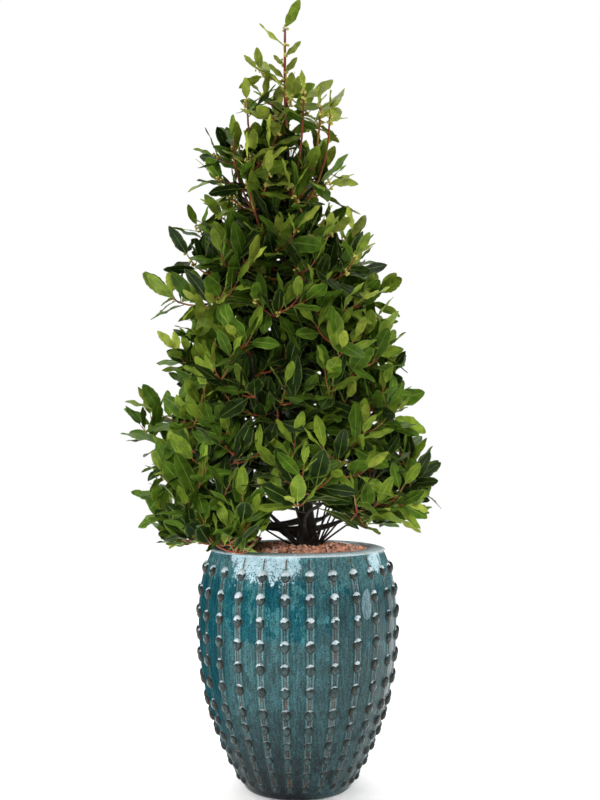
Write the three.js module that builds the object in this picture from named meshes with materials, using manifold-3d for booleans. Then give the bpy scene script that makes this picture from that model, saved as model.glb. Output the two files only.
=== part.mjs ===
// Bay laurel grown as a pyramid, standing in a tall glazed planter with columns of knobs.
// Millimetres, +Z up, the front looks along -Y. The origin is the centre of the planter's underside.
// The planter and its fill are turned shapes. The trunk runs whole to the leader, each bough is one
// tapering limb, and each mass of foliage is one solid of twigs and leaves that keeps to its own space.
import * as THREE from "three";
import { mergeVertices } from "three/addons/utils/BufferGeometryUtils.js";
import Module from "manifold-3d";

const wasm = await Module();
wasm.setup();

// Planter: an egg-shaped wall, drawn in above and below its belly.
const PLANTER_HEIGHT = 500;
const BELLY_RADIUS = 208;
const BELLY_HEIGHT = 345;
const RIM_INSET = 27;
const RIM_POWER = 2.6;
const FOOT_INSET = 98;
const FOOT_POWER = 2.15;
const RIM_OUTER_HEIGHT = 492;
const RIM_LIP_WIDTH = 8;
const MOUTH_RADIUS = 155;
const WALL = 20;
const FLOOR = 24;
const INNER_HEIGHTS = [75, 180, 345, 470];

// Knobs: one in each facet of the wall, in rows that close up and shrink towards the foot.
const COLUMNS = 26;
const TOP_ROW_HEIGHT = 468;
const UPPER_ROWS = 7;
const LOWER_ROWS = 5;
const UPPER_GAP = 44.8;
const LOWER_GAP = 32.8;
const KNOB_RADIUS = 10.5;
const KNOB_RADIUS_AT_FOOT = 7;
const KNOB_HEIGHT = 7.5;
const KNOB_SUNK = 2.5;
const KNOB_SIDES = 4;

// Fill: planting soil under clay granules, level round the trunk and falling to the wall.
const FILL_TOP = 500;
const FILL_EDGE = 487;
const FILL_FLAT_RADIUS = 66;
const CLEAR = 0.3;
const MERGE_WITHIN = 0.1;

// Trunk: from a flat cut on the fill to the foot of the leader.
const TRUNK_TOP = 1378;
const TRUNK_PATH = [
  [20, 0],
  [12, 5],
  [-4, -4],
  [-18, 3],
  [-25, 0],
];
const TRUNK_BASE_RADIUS = 15.5;
const TRUNK_TIP_RADIUS = 4;
const FLARE = 15;
const FLARE_HEIGHT = 34;
const FLARE_LOBES = 5;
const FLARE_LOBE_DEPTH = 0.28;
const TRUNK_SIDES = 10;
const TRUNK_STEPS = 14;

// Crown: a paraboloid over a skirt, on its own upright axis.
const CROWN_AXIS = [-20, 0];
const SKIRT_HEIGHT = 620;
const SKIRT_RADIUS = 325;
const SKIRT_FOOT = 499;
const SKIRT_DRAW_IN = 0.45;
const APEX_HEIGHT = 1520;
const LEADER_RADIUS = 66;
const LEADER_TIP = 1601;
const CROWN_TOP = 1663;
const RIM_CLEARANCE = 7;

// Shoots that stand out of the crown, by heading, height and distance of the tip from its axis.
const LONG_SHOOTS = [
  { heading: 266, height: 785, distance: 372 },
  { heading: 96, height: 672, distance: 334 },
  { heading: 172, height: 900, distance: 338 },
  { heading: 262, height: 1082, distance: 306 },
  { heading: 44, height: 1120, distance: 272 },
  { heading: 278, height: 1352, distance: 194 },
  { heading: 84, height: 1424, distance: 142 },
];
const LONG_REACH = 82;
const TIP_LEAF_RUN = 86;
const TIP_LEAF_RISE = 44;

// Tiers of foliage, from the skirt up: masses round the trunk, the height of the tier's top at the
// outside of the crown, where its boughs leave the trunk, and the heading of its first mass.
const TIERS = [
  { masses: 6, top: 770, foot: 520, footStep: 11, heading: 18, name: "skirt" },
  { masses: 5, top: 1000, foot: 600, footStep: 14, heading: 52, name: "lower" },
  { masses: 4, top: 1205, foot: 770, footStep: 20, heading: 20, name: "middle" },
  { masses: 3, top: 1395, foot: 985, footStep: 24, heading: 62, name: "upper" },
];
const TIER_SLOPE = 0.8;
const BOUGH_REACH = 0.34;
const BOUGH_SIDES = 5;
const BOUGH_STEPS = 3;
const BOUGH_RADIUS = 7.5;
const BOUGH_TIP_RADIUS = 4.2;
const BOUGH_SAG = 0.1;
const STEM_REACH = 0.66;

// Foliage: leaves and twigs are larger than life, as there are fewer of them. Places along a shoot
// and shares of a space run from 0 to 1, and pitches are degrees from the shoot's own direction.
const SHOOTS_ACROSS = 3;
const SHOOTS_UP = 2;
const TILE_MIDDLE = [0.22, 0.73];
const SHOOT_SAG = 0.14;
const SHOOT_SPREAD = 0.86;
const SHOOT_INSET = [0.5, 0.8];
const SHOOT_LEAST_RADIUS = 34;
const WOOD_PLACES = [0.35, 0.6, 0.85];
const LEAF_PLACES = [0.4, 0.9];
const TIP_LEAF_PLACE = 0.97;
const TIP_LEAF_PITCH = 10;
const TIP_LEAF_PITCH_STEP = 5;
const LEAVES_ON_SHOOT = 4;
const LEAVES_ON_STEM = 3;
const LEAVES_ON_LEADER = 7;
const LEAF_LENGTH = 116;
const TOP_LEAF_LENGTH = 62;
const LEAF_SPREAD = 0.16;
const LEAF_WIDTH = 0.43;
const LEAF_WIDEST = 0.46;
const LEAF_FOLD = 6;
const LEAF_SUNK = 1.4;
const LEAF_KEEL_AT = 0.3;
const LEAF_THICKNESS = 2;
const LEAF_DROOP = 4;
const LEAF_PITCH = [38, 86];
const LEAF_ROLL = 1.2;
const LIGHT_SLANT = 0.7;
const LEAF_REACH = 22;
const TWIG_RADIUS = 3.4;
const TWIG_TIP_RADIUS = 2.3;
const TWIG_STEPS = 2;
const SPACE_MARGIN = 1.5;
const LIMB_MARGIN = 3;
const LEAF_TRIES = 16;
const GOLDEN_ANGLE = 137.5;
const SEED = 24;

const UP = new THREE.Vector3(0, 0, 1);
const radians = THREE.MathUtils.degToRad;
const lerp = THREE.MathUtils.lerp;

// A seeded stream of numbers from 0 to 1.
function stream(seed) {
  let state = seed >>> 0;
  return () => {
    state = (state + 0x6d2b79f5) >>> 0;
    let t = Math.imul(state ^ (state >>> 15), state | 1);
    t ^= t + Math.imul(t ^ (t >>> 7), t | 61);
    return ((t ^ (t >>> 14)) >>> 0) / 4294967296;
  };
}

function between([low, high], random) {
  return lerp(low, high, random());
}

// ---- Solids ----

function solidOf(geometry) {
  const bare = geometry.index ? geometry.toNonIndexed() : geometry.clone();
  bare.deleteAttribute("normal");
  bare.deleteAttribute("uv");
  const merged = mergeVertices(bare, 1e-3);
  const triangles = [];
  for (let i = 0; i < merged.index.count; i += 3) {
    const [a, b, c] = [0, 1, 2].map((k) => merged.index.getX(i + k));
    if (a !== b && b !== c && a !== c) triangles.push(a, b, c);
  }
  return new wasm.Manifold(
    new wasm.Mesh({
      numProp: 3,
      vertProperties: merged.attributes.position.array,
      triVerts: new Uint32Array(triangles),
    }),
  );
}

// The largest body of a fused solid, without loose scraps, sealed hollows and needless corners.
function mainBody(solid) {
  const body = solid.decompose().reduce((best, other) => (other.volume() > best.volume() ? other : best));
  return body.asOriginal().simplify(MERGE_WITHIN);
}

function geometryOf(solid) {
  const mesh = solid.getMesh();
  const geometry = new THREE.BufferGeometry();
  geometry.setAttribute("position", new THREE.BufferAttribute(mesh.vertProperties, 3));
  geometry.setIndex(new THREE.BufferAttribute(mesh.triVerts, 1));
  return geometry.toNonIndexed();
}

function named(name, solid, material) {
  const geometry = geometryOf(solid);
  geometry.computeVertexNormals();
  const mesh = new THREE.Mesh(geometry, material);
  mesh.name = name;
  return mesh;
}

// A turned solid about +Z from a profile of [radius, height] that starts and ends on the axis.
function turned(profile) {
  const points = profile.map(([r, z]) => new THREE.Vector2(r, z));
  return solidOf(new THREE.LatheGeometry(points, COLUMNS).rotateX(Math.PI / 2));
}

// A closed tube of flat-sided rings along a path. radiusAt(t, angle) gives each ring's radius.
function limb(path, radiusAt, sides, steps) {
  const rings = [];
  const heading = path.getTangentAt(0);
  let side = new THREE.Vector3(1, 0, 0);
  if (Math.abs(heading.x) > 0.9) side.set(0, 1, 0);
  for (let i = 0; i <= steps; i++) {
    const t = i / steps;
    const centre = path.getPointAt(t);
    const along = path.getTangentAt(t);
    side = side.clone().addScaledVector(along, -side.dot(along)).normalize();
    const other = along.clone().cross(side);
    const ring = [];
    for (let k = 0; k < sides; k++) {
      const angle = (k / sides) * 2 * Math.PI;
      const radius = radiusAt(t, angle);
      ring.push(
        centre
          .clone()
          .addScaledVector(side, Math.cos(angle) * radius)
          .addScaledVector(other, Math.sin(angle) * radius),
      );
    }
    rings.push(ring);
  }
  const corners = [];
  const face = (...points) => points.forEach((p) => corners.push(p.x, p.y, p.z));
  for (let i = 0; i < steps; i++)
    for (let k = 0; k < sides; k++) {
      const [a, b] = [rings[i][k], rings[i][(k + 1) % sides]];
      const [c, d] = [rings[i + 1][(k + 1) % sides], rings[i + 1][k]];
      face(a, b, c);
      face(a, c, d);
    }
  for (let k = 1; k < sides - 1; k++) {
    face(rings[0][0], rings[0][k + 1], rings[0][k]);
    face(rings[steps][0], rings[steps][k], rings[steps][k + 1]);
  }
  const geometry = new THREE.BufferGeometry();
  geometry.setAttribute("position", new THREE.Float32BufferAttribute(corners, 3));
  return solidOf(geometry);
}

// ---- Planter and fill ----

const FACET_HALF = Math.PI / COLUMNS;
const FACET_SWELL = 2 / (1 + Math.cos(FACET_HALF)); // shares the facets' flatness in and out

function wallRadius(z) {
  const above = z > BELLY_HEIGHT;
  const span = above ? PLANTER_HEIGHT - BELLY_HEIGHT : BELLY_HEIGHT;
  const share = Math.abs(z - BELLY_HEIGHT) / span;
  return BELLY_RADIUS - (above ? RIM_INSET * share ** RIM_POWER : FOOT_INSET * share ** FOOT_POWER);
}

const knobHeights = [TOP_ROW_HEIGHT];
for (let row = 1; row < UPPER_ROWS + LOWER_ROWS; row++)
  knobHeights.push(knobHeights[row - 1] - (row < UPPER_ROWS ? UPPER_GAP : LOWER_GAP));

// The wall's breaks lie midway between the rows, so that each knob stands in one flat facet.
const wallBreaks = [
  0,
  ...knobHeights
    .slice(1)
    .map((z, i) => (z + knobHeights[i]) / 2)
    .reverse(),
  RIM_OUTER_HEIGHT,
];

function planter() {
  const outer = wallBreaks.map((z) => [wallRadius(z) * FACET_SWELL, z]);
  const inner = INNER_HEIGHTS.map((z) => [Math.max(wallRadius(z) - WALL, 0) * FACET_SWELL, z]);
  const lip = [
    [(wallRadius(PLANTER_HEIGHT) - RIM_LIP_WIDTH) * FACET_SWELL, PLANTER_HEIGHT],
    [MOUTH_RADIUS * FACET_SWELL, PLANTER_HEIGHT],
  ];
  const floorRadius = (wallRadius(FLOOR) - WALL) * FACET_SWELL;
  const body = turned([[0, 0], ...outer, ...lip, ...inner.reverse(), [floorRadius, FLOOR], [0, FLOOR]]);
  return mainBody(wasm.Manifold.union([body, ...knobs()]));
}

function knobs() {
  const made = [];
  knobHeights.forEach((z, row) => {
    const above = wallBreaks.findIndex((height) => height > z);
    const [low, high] = [wallBreaks[above - 1], wallBreaks[above]];
    const [lowRadius, highRadius] = [wallRadius(low), wallRadius(high)];
    const facetRadius =
      lerp(lowRadius, highRadius, (z - low) / (high - low)) * FACET_SWELL * Math.cos(FACET_HALF);
    const normal = new THREE.Vector2(high - low, lowRadius - highRadius).normalize();
    const shrink = Math.max(0, row - UPPER_ROWS + 1) / LOWER_ROWS;
    const radius = lerp(KNOB_RADIUS, KNOB_RADIUS_AT_FOOT, shrink);
    const height = (KNOB_HEIGHT * radius) / KNOB_RADIUS + KNOB_SUNK;
    for (let column = 0; column < COLUMNS; column++) {
      const azimuth = (2 * column + 1) * FACET_HALF;
      const out = new THREE.Vector3(Math.sin(azimuth), -Math.cos(azimuth), 0);
      const facing = out.clone().multiplyScalar(normal.x).addScaledVector(UP, normal.y);
      const knob = new THREE.ConeGeometry(radius, height, KNOB_SIDES);
      knob.translate(0, height / 2 - KNOB_SUNK, 0);
      knob.applyQuaternion(new THREE.Quaternion().setFromUnitVectors(new THREE.Vector3(0, 1, 0), facing));
      knob.translate(out.x * facetRadius, out.y * facetRadius, z);
      made.push(solidOf(knob));
    }
  });
  return made;
}

function fill() {
  const side = [FLOOR + CLEAR, ...INNER_HEIGHTS].map((z) => [
    (wallRadius(z) - WALL - 2 * CLEAR) * FACET_SWELL,
    z,
  ]);
  return turned([
    [0, FLOOR + CLEAR],
    ...side,
    [(MOUTH_RADIUS - 2 * CLEAR) * FACET_SWELL, FILL_EDGE],
    [FILL_FLAT_RADIUS, FILL_TOP],
    [0, FILL_TOP],
  ]);
}

// ---- Trunk and boughs ----

const trunkFoot = FILL_TOP + CLEAR;
const trunkPath = new THREE.CatmullRomCurve3(
  TRUNK_PATH.map(([x, y], i) => {
    const share = i / (TRUNK_PATH.length - 1);
    return new THREE.Vector3(x, y, lerp(trunkFoot, TRUNK_TOP, share));
  }),
);

function trunkRadius(t, angle = 0, grown = 0) {
  const height = t * (TRUNK_TOP - trunkFoot);
  const spread = FLARE * Math.exp(-height / FLARE_HEIGHT);
  const lobes = 1 + FLARE_LOBE_DEPTH * Math.cos(FLARE_LOBES * angle);
  return lerp(TRUNK_BASE_RADIUS, TRUNK_TIP_RADIUS, t ** 0.9) + spread * lobes + grown;
}

// Rings crowd towards the foot, where the flare bends.
const flaredPath = {
  warp: (t) => t ** 1.6,
  getPointAt: (t) => trunkPath.getPointAt(flaredPath.warp(t)),
  getTangentAt: (t) => (t === 0 ? UP.clone() : trunkPath.getTangentAt(flaredPath.warp(t))),
};

function trunk(grown = 0) {
  const radiusAt = (t, angle) => trunkRadius(flaredPath.warp(t), angle, grown);
  return limb(flaredPath, radiusAt, TRUNK_SIDES, TRUNK_STEPS);
}

function crownPoint(azimuth, radius, z) {
  return new THREE.Vector3(
    CROWN_AXIS[0] + Math.sin(azimuth) * radius,
    CROWN_AXIS[1] - Math.cos(azimuth) * radius,
    z,
  );
}

// How far the foliage reaches from the crown's axis at a height.
function crownRadius(z) {
  if (z < SKIRT_HEIGHT) return SKIRT_RADIUS - (SKIRT_HEIGHT - z) * SKIRT_DRAW_IN;
  const share = Math.max(0, APEX_HEIGHT - z) / (APEX_HEIGHT - SKIRT_HEIGHT);
  return Math.max(SKIRT_RADIUS * Math.sqrt(share), LEADER_RADIUS);
}

// A tier's edge rises outwards, as the boughs do.
function tierEdge(top, radius) {
  return Number.isFinite(top) ? top + TIER_SLOPE * (radius - crownRadius(top)) : top;
}

// The space of each mass: a sector of its tier, and for the topmost all of the crown above.
const spaces = TIERS.flatMap((tier, level) => {
  const halfWidth = Math.PI / tier.masses;
  const below = level ? TIERS[level - 1].top : -Infinity;
  return Array.from({ length: tier.masses }, (_, i) => ({
    name: `${tier.name}_${i + 1}`,
    azimuth: radians(tier.heading) + 2 * i * halfWidth,
    halfWidth,
    low: below,
    high: tier.top,
    foot: tier.foot + tier.footStep * ((i * 2) % tier.masses),
  }));
});
const topSpace = {
  name: "leader",
  azimuth: 0,
  halfWidth: Math.PI,
  low: TIERS.at(-1).top,
  high: Infinity,
};

function inSpace(space, point, reach) {
  const [x, y] = [point.x - CROWN_AXIS[0], point.y - CROWN_AXIS[1]];
  const radius = Math.hypot(x, y);
  if (radius > crownRadius(point.z) + reach || point.z > CROWN_TOP) return false;
  if (point.z < SKIRT_FOOT) return false;
  if (Math.hypot(point.x, point.y) < BELLY_RADIUS && point.z < PLANTER_HEIGHT + RIM_CLEARANCE) return false;
  if (point.z < tierEdge(space.low, radius) + SPACE_MARGIN) return false;
  if (point.z > tierEdge(space.high, radius) - SPACE_MARGIN) return false;
  if (space === topSpace) return true;
  const turn = Math.atan2(x, -y) - space.azimuth;
  const away = Math.abs(Math.atan2(Math.sin(turn), Math.cos(turn)));
  return away < space.halfWidth && radius * Math.sin(Math.min(space.halfWidth - away, 1)) > SPACE_MARGIN;
}

// Middle height of a space at a radius, at a share of the way up it.
function heightIn(space, radius, share) {
  const low = Math.max(tierEdge(space.low, radius), SKIRT_FOOT);
  const high = Math.min(tierEdge(space.high, radius), APEX_HEIGHT);
  return lerp(low, high, share);
}

// The point of the crown's outside at a share of the way up a space.
function outsideAt(space, share) {
  const low = Math.max(space.low, SKIRT_FOOT);
  const high = Math.min(space.high, APEX_HEIGHT);
  const z = lerp(low, high, share);
  return [crownRadius(z), z];
}

function boughPath(space) {
  const share = (space.foot - trunkFoot) / (TRUNK_TOP - trunkFoot);
  const start = trunkPath.getPoint(share);
  const reach = outsideAt(space, 0.5)[0] * BOUGH_REACH;
  const end = crownPoint(space.azimuth, reach, heightIn(space, reach, 0.5));
  const bend = start.clone().lerp(end, 0.5).addScaledVector(UP, -BOUGH_SAG * start.distanceTo(end));
  return new THREE.QuadraticBezierCurve3(start, bend, end);
}

function boughRadius(t) {
  return lerp(BOUGH_RADIUS, BOUGH_TIP_RADIUS, t);
}

// Every limb as a list of [point, radius], for keeping leaves and twigs clear of it.
function samples(path, radiusAt, count) {
  return Array.from({ length: count + 1 }, (_, i) => [path.getPointAt(i / count), radiusAt(i / count)]);
}

const boughPaths = new Map(spaces.map((space) => [space.name, boughPath(space)]));
const limbSamples = [
  ...samples(trunkPath, trunkRadius, 90),
  ...[...boughPaths.values()].flatMap((path) => samples(path, boughRadius, 16)),
];

function clearOfLimbs(point, thick) {
  return limbSamples.every(([centre, radius]) => centre.distanceTo(point) > radius + thick + LIMB_MARGIN);
}

// ---- Foliage ----

// A leaf of eight faces: a kite whose blade folds up from its keel, with its root sunk in the wood.
function leaf(root, along, upper, length) {
  const side = along.clone().cross(upper).normalize();
  const face = side.clone().cross(along).normalize();
  const at = (d, s, n) =>
    root.clone().addScaledVector(along, d).addScaledVector(side, s).addScaledVector(face, n);
  const half = (LEAF_WIDTH * length) / 2;
  const foot = at(-LEAF_SUNK, 0, 0);
  const tip = at(length, 0, -LEAF_DROOP);
  const [west, east] = [-1, 1].map((s) => at(LEAF_WIDEST * length, s * half, LEAF_FOLD));
  const [rib, keel] = [0.5, -0.5].map((s) => at(LEAF_KEEL_AT * length, 0, s * LEAF_THICKNESS));
  const faces = [west, rib, east, keel].flatMap((corner, i, ring) => {
    const next = ring[(i + 1) % ring.length];
    return [
      [foot, next, corner],
      [tip, corner, next],
    ];
  });
  const centre = at(0.6 * length, 0, 0);
  return { faces, centre, corners: [west, east, tip, centre] };
}

function leafSolid({ faces }) {
  const geometry = new THREE.BufferGeometry();
  const corners = faces.flatMap((face) => face.flatMap((p) => [p.x, p.y, p.z]));
  geometry.setAttribute("position", new THREE.Float32BufferAttribute(corners, 3));
  return solidOf(geometry);
}

// The direction at a pitch from a shoot's own, turned about it, and the side that faces the light.
function leafDirection(along, turn, pitch) {
  const side = new THREE.Vector3(-along.y, along.x, 0);
  if (side.lengthSq() < 1e-6) side.set(1, 0, 0);
  side.normalize().applyAxisAngle(along, turn);
  return along.clone().multiplyScalar(Math.cos(pitch)).addScaledVector(side, Math.sin(pitch)).normalize();
}

function lightSide(root, direction, random) {
  const outwards = new THREE.Vector3(root.x - CROWN_AXIS[0], root.y - CROWN_AXIS[1], 0).normalize();
  const light = UP.clone().addScaledVector(outwards, LIGHT_SLANT);
  return light.applyAxisAngle(direction, (random() - 0.5) * LEAF_ROLL);
}

// Where a space's shoots end and how far their leaves may stand out of the crown: one shoot in each
// tile of its outer shell, and the long ones that end in it.
function shootTips(space, random) {
  const tips = [];
  for (let up = 0; up < SHOOTS_UP; up++)
    for (let across = 0; across < SHOOTS_ACROSS; across++) {
      const turn = ((across + between(TILE_MIDDLE, random)) / SHOOTS_ACROSS) * 2 - 1;
      const share = (up + between(TILE_MIDDLE, random)) / SHOOTS_UP;
      const [outside, outsideHeight] = outsideAt(space, share);
      const inset = LEAF_LENGTH * between(SHOOT_INSET, random);
      const radius = Math.max(outside - inset, SHOOT_LEAST_RADIUS);
      const z = outsideHeight - (outside - radius) * TIER_SLOPE;
      const azimuth = space.azimuth + turn * space.halfWidth * SHOOT_SPREAD;
      tips.push({ end: crownPoint(azimuth, radius, z), reach: LEAF_REACH });
    }
  for (const { heading, height, distance } of LONG_SHOOTS) {
    const outside = crownPoint(radians(heading), distance, height);
    const end = crownPoint(radians(heading), distance - TIP_LEAF_RUN, height - TIP_LEAF_RISE);
    if (inSpace(space, outside, LONG_REACH)) tips.push({ end, reach: LONG_REACH });
  }
  return tips;
}

// A shoot leaves its parent low and turns up at its tip.
function shootPath(start, tip) {
  const bend = start.clone().lerp(tip, 0.5).addScaledVector(UP, -SHOOT_SAG * start.distanceTo(tip));
  return new THREE.QuadraticBezierCurve3(start, bend, tip);
}

function twigRadius(t) {
  return lerp(TWIG_RADIUS, TWIG_TIP_RADIUS, t);
}

function touches(solid, others) {
  return others.some((other) => !solid.intersect(other).isEmpty());
}

// The middle of every leaf grown so far.
const bladeCentres = [];

// Leaves are smaller towards the leader.
function leafLength(z) {
  const share = THREE.MathUtils.clamp((z - TIERS.at(-1).top) / (LEADER_TIP - TIERS.at(-1).top), 0, 1);
  return lerp(LEAF_LENGTH, TOP_LEAF_LENGTH, share);
}

// Leaves along a shoot, with one at its tip. Each tries several turns round the shoot, and of those
// that fit takes the one furthest from the leaves already there.
function leavesOn({ path, reach, count }, space, grown, random) {
  const found = [];
  for (let i = 0; i < count; i++) {
    const last = i === count - 1;
    const t = last ? TIP_LEAF_PLACE : lerp(...LEAF_PLACES, i / (count - 2));
    const root = path.getPointAt(t);
    const along = path.getTangentAt(t);
    const length = leafLength(root.z) * (1 + (random() - 0.5) * 2 * LEAF_SPREAD);
    const phase = 360 * random();
    let best = null;
    for (let attempt = 0; attempt < LEAF_TRIES; attempt++) {
      const turn = radians(phase + GOLDEN_ANGLE * attempt);
      const tipPitch = TIP_LEAF_PITCH + TIP_LEAF_PITCH_STEP * attempt;
      const pitch = radians(last ? tipPitch : between(LEAF_PITCH, random));
      const direction = leafDirection(along, turn, pitch);
      const made = leaf(root, direction, lightSide(root, direction, random), length);
      const fits = made.corners.every((p) => inSpace(space, p, reach) && clearOfLimbs(p, 0));
      if (!fits || (last && best)) continue;
      const room = Math.min(...bladeCentres.map((centre) => centre.distanceTo(made.centre)), 1000);
      if (best && room < best.room) continue;
      const solid = leafSolid(made);
      if (!touches(solid, grown) && !touches(solid, found)) best = { room, solid, centre: made.centre };
    }
    if (!best) continue;
    bladeCentres.push(best.centre);
    found.push(best.solid);
  }
  return found;
}

function pathIsFree(path, space, reach) {
  return Array.from({ length: 7 }, (_, i) => path.getPointAt((i + 2) / 8)).every(
    (p) => inSpace(space, p, reach) && clearOfLimbs(p, TWIG_RADIUS),
  );
}

// One mass: a stem that carries on from its bough, shoots that branch from the nearest wood
// already grown, and leaves on each shoot.
function mass(space, start, along, random) {
  const hubRadius = outsideAt(space, 0.5)[0] * STEM_REACH;
  const hub =
    space === topSpace
      ? new THREE.Vector3(start.x - 2, start.y, LEADER_TIP)
      : crownPoint(space.azimuth, hubRadius, heightIn(space, hubRadius, 0.52));
  const bend = start.clone().addScaledVector(along, start.distanceTo(hub) * 0.5);
  const stem = new THREE.QuadraticBezierCurve3(start, bend, hub);
  const stemRadius = (t) => lerp(BOUGH_TIP_RADIUS - 0.4, TWIG_TIP_RADIUS, t);
  const onStem = space === topSpace ? LEAVES_ON_LEADER : LEAVES_ON_STEM;
  const shoots = [{ path: stem, reach: LEAF_REACH, count: onStem, twig: limb(stem, stemRadius, 3, 3) }];
  const wood = WOOD_PLACES.map((t) => stem.getPointAt(t));
  const tips = shootTips(space, random);
  tips.sort((a, b) => a.end.distanceTo(hub) - b.end.distanceTo(hub));
  for (const { end, reach } of tips) {
    const nearest = [...wood].sort((a, b) => a.distanceTo(end) - b.distanceTo(end));
    const paths = nearest.map((from) => shootPath(from, end));
    const path = paths.find((made) => pathIsFree(made, space, reach));
    if (!path) continue;
    wood.push(path.getPointAt(0.5));
    shoots.push({ path, reach, count: LEAVES_ON_SHOOT, twig: limb(path, twigRadius, 3, TWIG_STEPS) });
  }
  const leaves = [];
  for (const shoot of shoots) {
    const otherTwigs = shoots.filter((other) => other !== shoot).map((other) => other.twig);
    leaves.push(...leavesOn(shoot, space, [...otherTwigs, ...leaves], random));
  }
  return mainBody(wasm.Manifold.union([...shoots.map((shoot) => shoot.twig), ...leaves]));
}

// ---- The object ----

const glaze = new THREE.MeshStandardMaterial({ color: 0x2f6f78, roughness: 0.22, metalness: 0 });
const granules = new THREE.MeshStandardMaterial({ color: 0xa0583c, roughness: 0.9, metalness: 0 });
const bark = new THREE.MeshStandardMaterial({ color: 0x4a3226, roughness: 0.85, metalness: 0 });
const foliage = new THREE.MeshStandardMaterial({ color: 0x3f6a22, roughness: 0.45, metalness: 0 });

const bay = new THREE.Group();
bay.add(named("planter", planter(), glaze));
bay.add(named("granule_fill", fill(), granules));
bay.add(named("trunk", trunk(), bark));

const trunkRoom = trunk(CLEAR);
const random = stream(SEED);
for (const space of spaces) {
  const path = boughPaths.get(space.name);
  const bough = limb(path, boughRadius, BOUGH_SIDES, BOUGH_STEPS).subtract(trunkRoom);
  bay.add(named(`bough_${space.name}`, mainBody(bough), bark));
  const along = path.getTangentAt(1);
  const start = path.getPointAt(1).addScaledVector(along, CLEAR);
  bay.add(named(`foliage_${space.name}`, mass(space, start, along, random), foliage));
}
const leaderFoot = trunkPath.getPointAt(1).addScaledVector(trunkPath.getTangentAt(1), CLEAR);
bay.add(
  named(`foliage_${topSpace.name}`, mass(topSpace, leaderFoot, trunkPath.getTangentAt(1), random), foliage),
);

export default bay;
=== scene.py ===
"""Looks of a bay laurel cone in a knobbed glazed planter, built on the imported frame.

The planter's wall is one turned mesh with its ribs, grooves and lip. Geometry Nodes set its knobs and the
clay granules. The trunk and boughs get their bark's relief. Twigs, leaves, midribs and buds grow on from
the limbs by the rule that the part's own foliage follows, carried to finer shoots.

The plant's rule works in millimetres, as the part's source does. Every mesh is made in metres.
"""

import math

import bmesh
import bpy
import numpy as np
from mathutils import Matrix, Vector, noise


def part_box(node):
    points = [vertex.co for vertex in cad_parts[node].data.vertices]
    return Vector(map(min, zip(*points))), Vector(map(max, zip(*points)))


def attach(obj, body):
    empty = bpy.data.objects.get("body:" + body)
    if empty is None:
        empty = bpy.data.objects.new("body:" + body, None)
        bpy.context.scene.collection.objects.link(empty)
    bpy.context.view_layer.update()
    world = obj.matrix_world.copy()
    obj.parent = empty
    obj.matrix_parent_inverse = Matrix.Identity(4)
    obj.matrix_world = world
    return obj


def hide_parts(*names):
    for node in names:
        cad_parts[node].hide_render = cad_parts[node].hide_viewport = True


bl_info = {
    "name": "Bay Laurel Cone",
    "version": (1, 0, 0),
    "blender": (4, 5, 0),
    "location": "View3D > Sidebar > Bay laurel",
    "description": "Builds a potted bay laurel cone on its packed frame",
    "category": "Object",
}

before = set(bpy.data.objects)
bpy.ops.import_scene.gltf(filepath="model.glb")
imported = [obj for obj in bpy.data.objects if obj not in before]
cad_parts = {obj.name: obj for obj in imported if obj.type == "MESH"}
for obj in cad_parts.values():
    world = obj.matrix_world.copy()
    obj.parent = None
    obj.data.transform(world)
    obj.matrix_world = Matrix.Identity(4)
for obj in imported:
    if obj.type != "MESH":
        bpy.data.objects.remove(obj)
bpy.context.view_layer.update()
BODY = "root"
MM = 0.001
LIMB_NODES = [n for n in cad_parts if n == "trunk" or n.startswith("bough_")]
FOLIAGE_NODES = [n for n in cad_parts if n.startswith("foliage_")]

# Planter, in millimetres: an egg-shaped wall, drawn in above and below its belly.
PLANTER_HEIGHT = 500
BELLY_RADIUS = 208
BELLY_HEIGHT = 345
RIM_INSET = 27
RIM_POWER = 2.6
FOOT_INSET = 98
FOOT_POWER = 2.15
WALL = 20
FLOOR = 24
MOUTH_RADIUS = 155
INNER_HEIGHTS = [470, 345, 180, 75]
WALL_TOP = 499
FOOT_ROUND = 4
RING_STEP = 4.6
STRAP_HALF_WIDTH = 7.0
SCORE_AT = 2.3
TOP_ROW_HEIGHT = 463.5
UPPER_ROWS = 7
LOWER_ROWS = 5
UPPER_GAP = 45.2
LOWER_GAP = 32.8
KNOB_SHRINK_AT_FOOT = 0.7
KNOB_TALL = 1.34
KNOB_SUNK = 0.4
CREST = 506
LIP_INNER_RADIUS = 147
LIP_EDGE = 501
GRANULE_BED_RISE = 7
GRANULE_BED_FALL = 13
GRANULE_BED_JOLT = 2.6
GRANULE_BUMPS = 260.0
MOST_GRANULES = 60000.0

# The lip's outline: how far each ring lies out from the rim or the lip's inner edge, and its height.
LIP_OVER = [(1.2, 499.5), (2.6, 500.2), (3.2, LIP_EDGE), (2.4, 502), (-0.6, 503.4)]
LIP_OVER += [(-6, CREST - 1), (-9, CREST - 0.3), (-12, CREST), (-20, CREST + 0.2)]
LIP_INTO = [(4, CREST - 0.8), (1, CREST - 2.6), (0, CREST - 6), (2, CREST - 10)]

# The short scores between the lip and the top row: how far above the row they start, their depth and width.
SHORT_SCORE_ABOVE = 8
SHORT_SCORE_DEPTH = 1.1
SHORT_SCORE_WIDTH = 1.3

# How far a knob reaches up and down its strap, and how much wider the strap is beside it.
KNOB_REACH = 11
STRAP_SWELL = 0.22
SCORE_WIDTH = 0.85
SCORE_DEPTH = 0.7

# The wall's lines of points beside a column's line, as shares of half the way to the next column.
COLUMN_SHARES = [0, 0.055, 0.085, 0.11, 0.135, 0.175, 0.25, 0.31, 0.36, 0.41, 0.48, 0.62, 0.80]

# The hand-pressed wall's waves: the rise of each in millimetres, and its fineness.
WALL_WAVES = [(0.9, 0.011), (0.35, 0.04)]

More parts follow.
